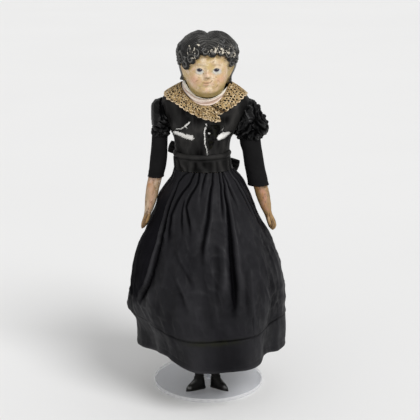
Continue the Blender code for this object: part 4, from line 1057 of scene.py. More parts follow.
# folds seen in front, as points of the picture, each with its depth and its width to the left and right, from top to bottom
FRONT_FOLDS = [
    ([(222, 172), (224, 182), (225, 192), (228, 206), (230, 222), (231.5, 236), (232.5, 255), (234, 272), (235.5, 288), (235.5, 305), (234, 324)], (1.7, 11.0), (1.1, 9.5), (0.9, 4.6)),
    ([(189, 172), (183, 176), (178, 182), (175.5, 190), (171, 200), (167, 212), (164, 224), (160, 244), (156, 257), (152, 274), (148, 285), (142, 294), (137, 305)], (1.5, 6.5), (1.0, 2.4), (1.3, 13.0)),
    ([(195, 173), (192, 179), (188, 186), (183, 192), (179, 198), (175, 206), (171, 216), (169.5, 228), (169, 246)], (2.3, 2.8), (1.1, 2.4), (1.1, 8.0)),
    ([(200, 173), (198.5, 182), (194.5, 190.5), (191, 196), (188, 202.5), (186.5, 207), (188, 216), (190, 226), (191, 236)], (2.4, 2.6), (1.1, 3.2), (1.0, 3.0)),
    ([(206.5, 173), (205, 178), (203.5, 184), (202.5, 190), (201, 198)], (2.2, 1.7), (1.0, 2.0), (1.0, 2.0)),
    ([(213, 173), (212.5, 180), (211.5, 188), (210.5, 196), (209.5, 208), (208.5, 220), (207, 228), (205.5, 236), (203.5, 248), (203, 262)], (2.0, 3.4), (1.0, 5.0), (1.0, 2.2)),
    ([(219, 173), (220, 182), (221, 192), (221.8, 200), (222.6, 210), (223.5, 222)], (2.2, 2.2), (1.0, 2.4), (1.0, 2.2)),
    ([(223.5, 173), (226, 179), (228.5, 186), (231, 191.5), (234, 198), (237, 204)], (2.4, 2.8), (1.0, 2.4), (1.0, 2.2)),
    ([(229, 172), (233, 178), (238, 185.5), (241.5, 192), (245.5, 199.5), (249, 207), (253, 216)], (1.8, 2.4), (0.9, 3.0), (0.9, 2.4)),
    ([(232, 171), (238, 180), (243, 189), (248, 199), (252, 207), (257, 217), (261, 225)], (1.8, 2.4), (0.9, 3.0), (0.9, 2.6)),
    ([(184, 206), (182.5, 214), (182, 222), (183, 234)], (0.6, 2.0), (1.2, 2.2), (1.2, 2.0)),
    ([(178, 258), (181, 265), (184, 271), (188, 278), (192, 285)], (0.2, 2.6), (3.5, 7.0), (3.0, 4.0)),
    ([(177, 283), (180, 290), (183, 298), (185.5, 306), (187, 312)], (0.2, 2.8), (3.5, 8.0), (3.0, 4.2)),
    ([(246, 276), (247, 300), (248, 322)], (0.3, 1.3), (5.0, 6.0), (5.0, 6.0)),
    ([(253, 314), (253.3, 326), (253.6, 337)], (0.3, 1.8), (1.4, 1.8), (1.4, 1.8)),
    ([(205, 268), (207, 300), (212, 330)], (0.4, 2.0), (6.0, 11.0), (6.0, 6.0)),
    ([(217, 252), (219, 272), (216, 300)], (0.4, 1.8), (6.0, 7.0), (5.0, 5.0)),
]
FRONT = len(FRONT_FOLDS)
SHADE_RIGHT = [(231, 172), (236, 181), (241, 190), (246, 200), (250, 208), (256, 218), (264, 232), (274, 250)]


def skirt_folds():
    found = []
    for line, depth, left, right in FRONT_FOLDS:
        path = [on_skirt(*p) for p in line]
        path = [p for p in path if p]
        z = np.array([p[1] for p in path])[::-1]
        t = np.array([p[0] for p in path])[::-1]
        z, i = np.unique(z, return_index=True)
        found.append((z, t[i], depth, left, right, False))
    # behind, folds of the same kind, spaced by chance
    j = chance(60, 311)
    k = 0
    for n in range(1, 11):
        a = math.radians(86 + n * 16.2 + 7 * (j[k] - 0.5))
        low = 70 + (0 if n % 2 else 120 * j[k + 1])
        z = np.array([low, 200.0, 280.0, 314.0])
        z[1] = max(z[1], low + 30)
        lean = 0.10 * (j[k + 2] - 0.5)
        t = np.array([a + lean, a + lean * 0.5, a, a])
        wide = (2.4, 9.0 + 5 * j[k + 1])
        found.append((z, t, (2.6, 3.5 + 4.0 * j[k + 3]), wide, wide, low < 90))
        k += 4
    return found


SKIRT_FOLDS = skirt_folds()
SHADE_LINE = sorted((p[1], p[0]) for p in (on_skirt(*q) for q in SHADE_RIGHT) if p)
HEM_DENT = [
    # angle, spread to the left and right, share of the radius drawn in
    (-58, 21.0, 33.0, 0.205), (59, 22.0, 18.0, 0.115), (150, 14, 14, 0.05), (-140, 12, 12, 0.06), (105, 10, 10, 0.03),
]
HEM_RISE = [(-42, 34.0, 23.0, 9.5), (57, 12.0, 12.0, 5.6), (150, 14, 14, 2.0), (-140, 12, 12, 2.5)]
SEAM_RISE = [(-62, 46.0, 30.0, 9.5), (72, 26.0, 40.0, 5.0)]


def skirt_plain(t, z):
    """Where the side of the skirt, right of the long fold, is dull and painted dark as shade."""
    zs, ts = SKIRT_FOLDS[1][:2]
    t, z = np.broadcast_arrays(t, z)
    share = np.clip((zs[-1] - z) / (zs[-1] - zs[0]), 0, 1)
    d = ((t - np.interp(z, zs, ts) + math.pi) % TAU - math.pi) * down(z, SKIRT_ROWS, 2)
    long = step(zs[-1] + 10 - z, 0, 6) * (1 - step(zs[0] - z, -6, 24))
    return step(-d, 3.4, 6.0) * step(t, -2.25, -1.65) * long * step(share, 0.05, 0.25)


def skirt_at(t, z, inset=0.0, detail=1.0):
    """Points of the skirt cloth at angle t and level z, and how much each stands on a ridge, with painted highlights
    and painted shade added to it.
    """
    t, z = np.broadcast_arrays(t, z)
    P = skirt_base(t, z)
    radius = down(z, SKIRT_ROWS, 2)
    N = P - pts(down(z, SKIRT_ROWS, 1), np.full_like(z, DOLL_Y), z)
    N /= np.linalg.norm(N, axis=-1, keepdims=True)
    deg = np.degrees(t)
    D = np.zeros_like(z, float)
    sheen = np.zeros_like(z, float)
    flap = np.zeros_like(z, float)
    for rank, (zs, ts, depth, left, right, runs) in enumerate(SKIRT_FOLDS):
        share = np.clip((zs[-1] - z) / max(zs[-1] - zs[0], 1), 0, 1)
        centre = np.interp(z, zs, ts)
        if rank < FRONT:
            centre = centre + np.clip(z - zs[-1], 0, 5) * (ts[-1] - ts[-2]) / (zs[-1] - zs[-2])
        d = ((t - centre + math.pi) % TAU - math.pi) * radius
        w = np.where(d < 0, left[0] + (left[1] - left[0]) * share, right[0] + (right[1] - right[0]) * share)
        amount = depth[0] + (depth[1] - depth[0]) * np.sin(share * math.pi / 2)
        fade = step(zs[-1] + 10 - z, 0, 6)
        if not runs:
            fade = fade * (1 - (step(zs[0] - z, -62, 12) if rank == 0 else step(zs[0] - z, -22, 14)))
        D = D - amount * fade * (np.exp(-(np.abs(d / w) ** np.where(d < 0, 1.7, 1.2))) - (0.16 + 0.24 * share) * np.exp(-(((np.abs(d) - 2.0 * w) / (1.3 * w)) ** 2)))
        if rank == 1:
            # the side of the skirt lies over the front here: a rolled edge with a painted highlight, painted shade in
            # the crease beside it and on the plain cloth beyond
            flap = step(-d, 1.0, 5.0) * step(t, -2.0, -1.6) * fade * step(share, 0.10, 0.30)
            D = D + fade * step(share, 0.25, 0.5) * 0.6 * hump(d + 3.0, 1.6)
            sheen = sheen + 0.30 * fade * step(share, 0.40, 0.65) * hump(d + 2.4, 0.9)
            sheen = sheen - 0.16 * skirt_plain(t, z)
            sheen = sheen - 0.45 * fade * hump(d - 0.4, 1.4)
        elif rank < FRONT:
            # a painted highlight along the edge of each fold, painted shade inside it
            sheen = sheen + fade * (0.24 if rank < 1 else 0.15) * hump(d - 1.5 * right[0] - 1.1 * (right[1] - right[0]) * share, 1.2 + 1.8 * share)
            sheen = sheen - fade * (0.34 + 0.16 * (1 - share) if rank < 11 else 0.12) * np.exp(-(np.abs((d + 0.4) / (0.55 * w + 0.5)) ** 2))
    # small gathers under the waistband
    top = step(z, 236, 300)
    wobble = 1.3 * noise(pts(np.cos(t) * 3, np.sin(t) * 3, z / 50), 2)
    away = 0.16 + 0.84 * step(np.abs(t), 0.95, 1.5)
    D = D + away * (top * 0.7 * np.cos(t * 30 + wobble) * step(z, 250, 290) + 0.28 * step(z, 286, 308) * np.cos(t * 57 + 2 * wobble))
    # painted shade on a strip along the skirt's right side
    line = np.interp(z, [p[0] for p in SHADE_LINE], [p[1] for p in SHADE_LINE])
    sheen = sheen - 0.24 * step(t - line, 0.0, 0.10) * step(z, 196, 226) * (1 - step(t, 1.7, 2.1))
    detail = detail * (1 - 0.6 * flap)
    # broad swing of the cloth below
    low = 1 - step(z, 150, 290)
    D = D + low * 1.5 * np.cos(t * 7 + 0.9 * np.sin(t * 2) + 1.0 + 0.4 * noise(pts(np.cos(t) * 2, np.sin(t) * 2, z / 90), 7))
    # long soft ripples, crumples and sharp small creases
    arc = pts(np.cos(t) * radius / 17, np.sin(t) * radius / 17, z / 75)
    D = D + detail * (1.5 * noise(arc, 4) * step(radius, 45, 80))
    D = D + detail * 1.1 * (0.4 + 0.6 * step(z, 104, 140)) * (creases(pts(P[..., 0] / 24 + z / 60, P[..., 1] / 24, z / 46 + P[..., 0] / 70), 2, 14) - 0.45) * step(radius, 50, 85)
    calm = 0.3 + 0.7 * step(z, 104, 140)
    crumple = creases(pts(P[..., 0] / 12 + z / 40, P[..., 1] / 12, z / 21), 1, 43) - 0.42
    nicks = creases(pts(P[..., 0] / 7 - z / 26, P[..., 1] / 7, z / 9), 1, 47) - 0.42
    D = D + detail * calm * (0.35 * noise(P / 6.5, 41) + (1.2 * crumple + 0.7 * nicks * step(noise(P / 30.0, 49), -0.2, 0.4)) * step(radius, 50, 85))
    # ridge: painted shade in the hollows and painted highlight on the crests, with the painted marks above
    ridge = np.clip(0.49 + 0.085 * D * (1 - 0.5 * step(np.abs(t), 1.75, 2.2)) + sheen, 0, 1)
    # the hem swings in at the front quarters
    drop = 1 - step(z, 72, 176)
    lift = np.zeros_like(z, float)
    for at, left, right, amount in HEM_DENT:
        D = D - radius * amount * bell(deg, at, left, right) * drop
    for at, left, right, up in HEM_RISE:
        lift = lift + up * bell(deg, at, left, right) * (1 - step(z, 70, 112))
    for at, left, right, up in SEAM_RISE:
        lift = lift + up * bell(deg, at, left, right) * step(z, 70, 112) * (1 - step(z, 114, 176))
    side = curve(z, [60, 69, 88, 100, 106, 111.6, 119, 129, 140, 158, 186, 208, 230], [-0.5, -0.5, -2.0, -3.3, -1.2, 1.9, 3.5, 1.3, 0, 0.8, 0.8, 1.0, 0])
    D = D + side * bell(deg, -92, 22, 18) + curve(z, [60, 225, 248, 275, 296, 331], [0, 0, 2.6, 2.8, 0, 0]) * bell(deg, -108, 14, 12)
    D = D + curve(z, [60, 258, 278, 296, 312, 331], [0, 0, 1.2, 1.2, 0, 0]) * bell(deg, -92, 16, 16)
    P = P + N * (D - inset)[..., None]
    P[..., 2] += lift
    return P, ridge


def ring_angles(n):
    return np.linspace(-math.pi, math.pi, n, endpoint=False)[None, :]


def skirt_pieces():
    t = ring_angles(396)
    t = t - 0.42 * np.sin(t)
    z = np.concatenate([np.linspace(316.5, 290, 22)[:-1], np.linspace(290, 120, 92)[:-1], np.linspace(120, 111.4, 12)])[:, None]
    P, ridge = skirt_at(t, z)
    # turned under at the sewn edge
    under = 1 - step(z, 111.4, 113.2)
    N = normals(P, True)
    P = P - N * (1.3 * under)[..., None]
    P = P + N * (0.6 * hump(z - 114.4, 2.2))[..., None]
    middle = np.exp(-(((t - 0.06) / 0.36) ** 4))
    olive = np.clip((0.10 + 0.55 * middle) * hump(z - 112.6, 2.4) * (0.8 + 0.6 * noise(P / 7.0, 19)), 0, 1)
    # painted shade in a dark line just under the sewn edge
    ridge = np.clip(ridge - 0.34 * hump(z - 112.6, 1.4), 0, 1)
    o = cloth("skirt_taffeta", P, LOOK["skirt"], wrap=True, thick=0.4, attributes={"ridge": ridge, "seam": olive, "plain": skirt_plain(t, z)})
    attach(o, "doll")
    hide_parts("skirt_front_breadth", "skirt_back_breadth", "skirt_right_breadth", "skirt_left_breadth")

    z = np.linspace(113.4, 69.0, 40)[:, None]
    P, ridge = skirt_at(t, z)
    N = normals(P, True)
    P = P - N * (1.2 * step(z, 109, 112) + 0.25)[..., None]
    P = P + N * (0.5 * hump(z - 71.0, 1.3) - 0.5 * hump(z - 77.4, 0.8))[..., None]
    # painted highlight on the roll at the hem, painted shade at the top of the band under the seam
    o = cloth("skirt_hem_band_taffeta", P, LOOK["skirt"], wrap=True, thick=0.55, attributes={"ridge": np.clip(ridge + 0.25 * hump(z - 70.5, 1.5) - 0.22 * step(z, 109.0, 111.5), 0, 1), "seam": np.clip(np.exp(-(((t - 0.06) / 0.36) ** 4)) * hump(z - 109.4, 3.2) * (0.9 + 0.6 * noise(P / 7.0, 19)), 0, 1)})
    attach(o, "doll")
    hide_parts("skirt_hem_band")

    t = ring_angles(300)
    z = np.concatenate([np.linspace(312, 112, 66)[:-1], np.linspace(112, 86, 22)])[:, None]
    P, ridge = skirt_at(t, z, inset=4.6, detail=0.4)
    N = normals(P, True)
    frill = 1 - step(z, 100, 108)
    P = P + N * (frill * (-1.2 + 1.2 * np.cos(t * 74 + 2 * noise(pts(np.cos(t) * 4, np.sin(t) * 4, 0 * z + 0 * t), 3))) - 0.6 * hump(z - 108, 1.2))[..., None]
    o = cloth("petticoat_cotton", P, LOOK["cotton"], wrap=True, thick=0.4)
    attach(o, "doll")
    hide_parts("petticoat")


skirt_pieces()


# ---- waistband -----------------------------------------------------------------------
def waistband_piece():
    t = ring_angles(360)
    v = np.linspace(0, 1, 42)[:, None]
    top = 339.4 + 1.4 * (1 - hump(np.degrees(np.abs(t)), 62)) * (np.degrees(np.abs(t)) < 180)
    low = 316.2 + 0.6 * np.cos(t)
    z = top + (low - top) * v
    cx, a, b = (down(np.clip(z, 313, 331), SKIRT_ROWS, k) for k in (1, 2, 3))
    piping = hump((v - 0.14) / 0.11, 1.0) * 0.9 - hump((v - 0.30) / 0.04, 1.0) * 0.7 + hump((v - 0.97) / 0.03, 1.0) * 0.3
    tucks = 0.34 * np.cos(t * 17 + 2.6 * noise(pts(np.cos(t) * 3, np.sin(t) * 3, v * 2 + 0 * t), 6)) * step(v, 0.32, 0.48)
    r = 0.2 + piping + tucks - 1.2 * (1 - step(v, 0.0, 0.12)) + 0.5 * noise(pts(np.cos(t) * 4, np.sin(t) * 4, v * 3 + 0 * t), 11)
    P = pts(cx + (a + r - 0.4) * np.sin(t), DOLL_Y - (b + r - 0.4) * np.cos(t), z)
    # painted light and shade follow the tucks and the piping
    o = cloth("waistband_silk", P, LOOK["bodice"], wrap=True, thick=0.8, attributes={"ridge": np.clip(0.42 + 0.75 * tucks + 0.30 * piping + 0.20 * noise(pts(np.cos(t) * 5, np.sin(t) * 5, v * 1.5 + 0 * t), 13), 0, 1)})
    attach(o, "doll")
    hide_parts("waistband")


waistband_piece()


# ---- sash bow at the back ------------------------------------------------------------
def sash_pieces():
    def loop(name, node, root, tip, wide, thick, seed):
        root, tip = np.array(root, float), np.array(tip, float)
        axis = tip - root
        long = np.linalg.norm(axis)
        axis /= long
        out = np.array([0.0, 1.0, 0.0])
        up = np.cross(axis, out)
        up = up if up[2] > 0 else -up
        s = np.linspace(0, 1, 72)[None, :]
        w = np.linspace(-1, 1, 30)[:, None]
        x = long * (0.5 - 0.5 * np.cos(TAU * s)) ** 0.82
        depth = thick * np.sin(TAU * s) * (0.35 + 0.65 * (x / long))
        half = 3.0 + (wide - 3.0) * (x / long) ** 0.6 * (1 - 0.25 * (x / long) ** 4)
        ruck = (0.8 * np.cos(w * 9 + 5 * s) + 0.6 * noise(pts(w * 3, s * 6, seed + 0 * s), seed)) * (1 - 0.55 * x / long)
        curl = 0.16 * half * w**2 * (x / long)
        P = root + axis * (x - curl)[..., None] + up * (-half * w)[..., None] + out * (depth + ruck)[..., None]
        # painted light and shade follow the rucks
        o = cloth(name, P, LOOK["sash"], thick=0.4, attributes={"ridge": np.clip(0.5 + 0.5 * ruck, 0, 1)})
        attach(o, "doll")
        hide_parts(node)

    loop("sash_loop_right_silk", "sash_loop_right", (-11.0, 1.8, 324), (-53.0, 3.2, 337.5), 9.4, 3.2, 3)
    loop("sash_loop_left_silk", "sash_loop_left", (-3.0, 1.8, 322), (41.0, 6.6, 308.5), 9.6, 3.0, 7)

    n = 40
    rows = [(-11.0, 1.6, 323, 3.4, 2.0), (-10.3, 1.9, 323, 5.6, 3.0), (-7, 2.2, 323, 6.6, 3.8), (-3.7, 1.9, 323, 5.6, 3.0), (-3.0, 1.6, 323, 3.4, 2.0)]
    P, line, s, t = path_rings(rows, n, 26)
    C = line[:, None, :3]
    fold = 1 + 0.09 * np.cos(t * 9 + 3 * noise(pts(np.cos(t) * 2, np.sin(t) * 2, 0 * t), 4))[None, :]
    P = C + (P - C) * fold[..., None]
    # painted light and shade follow the folds of the knot
    o = body("sash_knot_silk", P, LOOK["sash"], {"ridge": np.broadcast_to((fold - 0.9) * 5, P.shape[:2])})
    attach(o, "doll")
    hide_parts("sash_knot")

    for name, node, rows, seed in (
        ("sash_tail_right_silk", "sash_tail_right", [(-9.5, 318, 3.2), (-13, 308, 5.0), (-16.5, 296, 8.0), (-21, 266, 9.6), (-25, 239, 10.4)], 5),
        ("sash_tail_left_silk", "sash_tail_left", [(-4.5, 318, 3.2), (3.0, 308, 5.0), (7.5, 296, 8.0), (13, 266, 9.6), (17, 243, 10.4)], 9),
    ):
        rows = np.array(rows, float)
        v = np.linspace(0, 1, 70)[:, None]
        w = np.linspace(-1, 1, 26)[None, :]
        zc = rows[0, 1] + (rows[-1, 1] - rows[0, 1]) * v
        cx = curve(-zc, -rows[:, 1], rows[:, 0])
        half = curve(-zc, -rows[:, 1], rows[:, 2])
        z = zc - 6.5 * np.abs(w) ** 1.0 * step(v, 0.8, 1.0) * (1 if seed == 5 else -1) * -1
        x = cx + half * w
        sx, a, b = (down(np.clip(z, 60, 331), SKIRT_ROWS, k) for k in (1, 2, 3))
        t = np.pi - np.arcsin(np.clip((x - sx) / a, -1, 1))
        S, _ = skirt_at(t, np.clip(z, 60, 316))
        off = 2.4 + 0.7 * np.cos(w * 7 + 3 * v + seed) + 0.9 * noise(pts(w * 2, v * 6, seed + 0 * v), seed) + 1.2 * (1 - step(v, 0.0, 0.25))
        # the cloth below is followed through its smoothed back
        y = np.maximum.accumulate(S[..., 1].mean(1, keepdims=True) + 0 * w, axis=0) * 0.5 + 0.5 * S[..., 1]
        P = pts(-x + 2 * cx, np.maximum(y, S[..., 1]) + off, z)
        # painted light and shade follow the ripples
        o = cloth(name, P, LOOK["sash"], thick=0.4, attributes={"ridge": np.clip(0.5 + 0.3 * np.cos(w * 7 + 3 * v + seed), 0, 1)})
        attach(o, "doll")
        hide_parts(node)


sash_pieces()


# ---- arms ----------------------------------------------------------------------------
AY = -32.0
PUFFS = {
    "right": [(408.6, -58.8, AY, 3.0, 4.5), (405.0, -59.4, AY, 8.4, 11.0), (400.6, -60.0, AY, 11.6, 14.4), (395.0, -60.2, AY, 12.4, 16.6), (386.0, -60.2, AY, 12.4, 18.2), (376.0, -60.2, AY, 12.0, 18.0), (370.0, -60.8, AY, 11.4, 16.4), (362.4, -62.0, AY, 11.2, 13.6), (359.0, -62.0, AY, 10.6, 12.2)],
    "left": [(407.0, 51.0, AY, 4.0, 5.5), (404.0, 51.6, AY, 8.8, 11.0), (398.0, 52.6, AY, 12.8, 15.6), (391.0, 53.8, AY, 15.4, 18.4), (384.0, 55.0, AY, 19.0, 20.0), (377.0, 55.4, AY, 21.0, 20.6), (369.0, 55.2, AY, 22.6, 20.0), (364.4, 54.4, AY, 21.6, 18.4), (360.0, 53.8, AY, 17.8, 16.2), (354.4, 54.4, AY, 13.2, 13.0)],
}
# valleys between the folds of the puffs, as points of the picture
PUFF_FOLDS = {
    "left": [
        ([(252.5, 100), (254, 106), (255, 112), (255.5, 118), (252, 122)], 3.4), ([(257, 103), (259, 109), (261, 115), (263.5, 121), (267, 126)], 3.0), ([(254, 119), (257, 123.5), (261, 127), (265, 130.5)], 3.6),
        ([(250, 122), (252.5, 127), (256, 131), (260, 134)], 3.2), ([(249, 123), (246, 128.5), (241, 133), (235, 137.5)], 3.4), ([(252, 127.5), (249, 133), (245, 138)], 2.8), ([(256, 131), (255, 135), (254, 140)], 2.6),
        ([(258, 112), (257, 117), (259.5, 121.5), (262, 123.5)], 2.6), ([(264, 116), (264, 122), (268, 128)], 2.2), ([(255, 104), (257, 108), (257.5, 112)], 2.2), ([(260, 128), (261, 132), (262, 136)], 2.2), ([(247, 128), (244, 130), (239, 132)], 2.0),
    ],
    "right": [
        ([(161, 96), (160.6, 104), (161, 112), (161.6, 119)], 3.4), ([(163.6, 106), (163, 113), (164.5, 118.5), (169, 121)], 2.6), ([(166.6, 106), (167, 114), (169, 120), (172, 126)], 2.6), ([(160, 121.5), (165, 124), (170, 128)], 2.4),
        ([(154, 126.5), (160, 127.5), (166, 129), (170, 131)], 1.8), ([(154, 131.5), (161, 132), (168, 132)], 1.8), ([(165, 112), (168, 116), (172, 119)], 1.8),
    ],
}
SLEEVES = {
    "right": [(368.0, -62.2, AY, 10.0, 12.0), (358.0, -63.0, AY, 10.4, 12.4), (345.0, -63.9, AY, 10.8, 12.6), (330.0, -65.0, AY, 11.3, 12.6), (318.0, -66.6, AY, 11.2, 12.4), (310.0, -68.0, AY, 11.0, 12.2), (304.4, -69.0, AY, 10.8, 12.0)],
    "left": [(364.0, 54.0, AY, 13.0, 13.2), (350.0, 54.8, AY, 13.8, 13.4), (337.0, 57.8, AY, 12.9, 13.2), (317.0, 61.0, AY, 13.2, 13.0), (304.0, 63.8, AY, 13.4, 13.0), (293.2, 66.0, AY, 13.6, 13.2)],
}
UPPER = {
    "right": [(397.0, -61.4, AY, 3.0, 4.0), (394.6, -61.6, AY, 6.0, 8.0), (385.0, -61.8, AY, 8.8, 10.0), (360.0, -62.6, AY, 9.0, 10.0), (338.0, -64.6, AY, 9.0, 9.4), (328.6, -65.8, AY, 8.0, 8.4), (327.0, -66.2, AY, 5.0, 5.0)],
    "left": [(391.6, 56.0, AY, 2.2, 3.2), (389.4, 56.4, AY, 4.2, 6.0), (381.0, 56.8, AY, 5.8, 7.4), (371.0, 56.8, AY, 7.2, 8.6), (360.0, 56.8, AY, 8.0, 9.4), (338.0, 58.4, AY, 9.4, 9.4), (328.6, 60.4, AY, 8.2, 8.4), (327.0, 60.8, AY, 5.0, 5.0)],
}
FORE = {
    "right": [(-66.8, AY, 323.6, 2.4, 2.4), (-67.0, AY, 321.5, 6.0, 6.2), (-67.6, AY, 316.0, 7.4, 7.8), (-69.8, AY, 304.0, 9.0, 9.0), (-73.0, AY, 289.5, 8.7, 8.8), (-76.2, AY, 272.7, 7.6, 8.0), (-77.8, AY, 264.3, 6.5, 6.8), (-80.1, AY - 0.2, 255.9, 4.8, 5.6), (-82.0, AY - 0.6, 249.2, 4.0, 6.0), (-84.5, AY - 1.3, 241.7, 4.0, 6.2), (-86.8, AY - 1.9, 236.6, 2.9, 4.4), (-88.4, AY - 2.3, 233.4, 0.7, 1.2)],
    "left": [(62.0, AY, 323.6, 2.4, 2.4), (62.2, AY, 321.5, 6.0, 6.2), (62.8, AY, 316.0, 7.6, 7.8), (66.0, AY, 302.0, 9.0, 9.0), (70.6, AY, 285.0, 9.0, 8.6), (75.0, AY, 269.0, 8.0, 7.6), (78.4, AY, 257.0, 5.8, 5.8), (80.4, AY, 251.0, 5.0, 5.6), (83.2, AY, 244.0, 5.6, 6.8), (85.2, AY - 1, 238.0, 5.4, 6.6), (85.8, AY - 1.4, 233.6, 3.6, 4.6), (85.8, AY - 1.6, 231.2, 0.8, 1.2)],
}


def arm_pieces():
    for side in ("right", "left"):
        out = -1 if side == "right" else 1
        upper, fore = f"{side}_upper_arm", f"{side}_forearm"
        # stuffed upper arm inside the sleeve
        rows = UPPER[side]
        P = rings(rows, 48, np.linspace(rows[0][0], rows[-1][0], 60))
        N = normals(P, True)
        P = P + N * (0.35 * noise(P / 7.0, 3) - 0.5 * hump(np.linspace(-math.pi, math.pi, 48, endpoint=False) - 1.2, 0.10)[None, :])[..., None]
        o = body(f"upper_arm_{side}_linen", P, LOOK["linen"])
        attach(o, upper)
        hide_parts(f"upper_arm_{side}")

        # gathered puff
        rows = PUFFS[side]
        h = np.concatenate([np.linspace(rows[0][0], rows[1][0], 8)[:-1], np.linspace(rows[1][0], rows[-1][0], 96)])
        n = 176
        P = rings(rows, n, h, power=2.15)
        N = normals(P, True)
        t = np.linspace(-math.pi, math.pi, n, endpoint=False)[None, :]
        z = h[:, None]
        share = (z - h[-1]) / (h[0] - h[-1])
        outer = step(out * (P[..., 0] - (rows[3][1] + out * 2.0)), 0, 8)
        strong = (1 - 0.82 * outer * step(share, 0.22, 0.34)) if side == "right" else np.ones_like(outer)
        seed = 21 if out > 0 else 24
        low = pts(P[..., 0] / 16.0, P[..., 1] / 16.0, P[..., 2] / 22.0)
        Q = P + 2.2 * np.stack([noise(P / 10.0, seed + 11), noise(P / 10.0, seed + 12), noise(P / 10.0, seed + 13)], -1)
        qx, qy, qz = out * Q[..., 0], Q[..., 1], Q[..., 2]

        def billow(across, along, scale, k):
            """Long rounded folds with sharp valleys between."""
            return np.minimum(1, 2.1 * np.abs(noise(pts(across / scale, qy / (1.5 * scale), along / (3.4 * scale)), k))) ** 0.62

        one = billow(0.86 * qx + 0.50 * qz, -0.50 * qx + 0.86 * qz, 7.4, seed)
        two = billow(0.66 * qx - 0.75 * qz, 0.75 * qx + 0.66 * qz, 7.0, seed + 3)
        fine = billow(0.80 * qx - 0.60 * qz, 0.60 * qx + 0.80 * qz, 4.2, seed + 5)
        where = step(noise(low * 1.2, seed + 7), -0.30, 0.30)
        ends = np.abs(np.sin(t * 13 + 1.8 * noise(low, seed + 9))) ** 0.7
        behind = step(P[..., 1], AY - 6, AY + 4)
        # in front the folds follow the picture, behind they are of the same kind
        groove = np.zeros_like(P[..., 0])
        for line, depth in PUFF_FOLDS[side]:
            spots = []
            for px, py in line:
                ray = sight(px, py)
                hit = EYE + ray * ((AY - 13.0 - EYE[1]) / ray[1])
                spots.append((hit[0], hit[2]))
            away = near_line(P[..., 0] + 0.8 * noise(P / 5.0, seed + 15), z + 0.8 * noise(P / 5.0, seed + 16), spots)
            groove = np.maximum(groove, depth * np.exp(-((away / 1.25) ** 1.2)))
        D = (4.2 * (one * (1 - where) + two * where - 0.62)) * (0.30 + 0.70 * behind) + 1.1 * (fine - 0.62) + 0.35 * noise(P / 3.2, seed + 1)
        facet = creases(pts(qx / 9.0 + qz / 15.0, qy / 9.0, qz / 8.0 - qx / 15.0), 2, seed + 19) - 0.45
        D = D + (0.5 + 2.4 * facet - groove) * (1 - behind)
        D = D + 1.5 * (ends - 0.7) * (1 - step(share, 0.06, 0.26)) + 0.7 * (ends - 0.7) * step(share, 0.80, 0.96)
        if side == "right":
            D = strong * D - 0.9 * (1 - strong)
        D = D * step(h[0] - z, 0, 5) * step(z - h[-1], -0.5, 3.0)
        if side == "right":
            # a plain flap lies over the outer side, its free edge scalloped
            brim = 374.5 + 0.9 * np.cos(z / 2.1) + 0.8 * np.cos(t * 21)
            flap = outer * step(z, brim - 0.6, brim + 0.6)
            D = D + 1.9 * flap + 0.4 * (np.abs(np.sin(t * 6 + 0.8 * noise(low, 5))) ** 0.6 - 0.7) * flap + 0.4 * noise(P / 9.0, 6) * flap
            groove = groove * strong
        P = P + N * D[..., None]
        # ridge: painted shade in the fold valleys, painted highlight on the facets, darker on the plain flap
        ridge = np.clip(0.36 + 0.10 * D + (0.45 * facet - 0.11 * groove) * (1 - behind) * strong - 0.10 * (1 - strong), 0, 1)
        o = cloth(f"sleeve_puff_{side}_silk", P, LOOK["puff"], wrap=True, thick=0.4, attributes={"ridge": ridge})
        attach(o, upper)
        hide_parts(f"sleeve_puff_{side}")

        # close-fitting lower sleeve, one tube over the elbow
        rows = SLEEVES[side]
        h = np.linspace(rows[0][0], rows[-1][0], 112)
        n = 120
        P = rings(rows, n, h)
        N = normals(P, True)
        t = np.linspace(-math.pi, math.pi, n, endpoint=False)[None, :]
        z = h[:, None]
        bend = hump(z - 318, 14)
        D = 0.45 * noise(pts(P[..., 0] / 12, P[..., 1] / 12, z / 18), 3) + 0.30 * bend * noise(pts(P[..., 0] / 9, P[..., 1] / 9, z / 4.5), 5)
        D = D + 0.35 * (creases(pts(P[..., 0] / 11 + z / 30, P[..., 1] / 11, z / 20), 2, 8) - 0.5)
        D = D - 0.35 * hump(t - out * 1.9, 0.07) + 0.45 * hump(z - h[-1] - 0.6, 0.9) - 0.3 * hump(z - h[-1] - 5.0, 0.5)
        P = P + N * D[..., None]
        # the edge turns in
        P = np.concatenate([P, P[-1:] - N[-1:] * 1.3 + np.array([0, 0, 0.5]), P[-1:] - N[-1:] * 1.6 + np.array([0, 0, 4.0])])
        worn = np.concatenate([0.75 * hump(z - h[-1], 0.9) * step(noise(pts(np.cos(t) * 3 + out, np.sin(t) * 3, 0 * t), 27), -0.2, 0.4), np.full((2, n), 0.5)])
        o = cloth(f"sleeve_{side}_wool", P, LOOK["wool"], wrap=True, thick=0.5, attributes={"worn": worn})
        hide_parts(f"sleeve_{side}", f"sleeve_cuff_{side}")
        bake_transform(o)

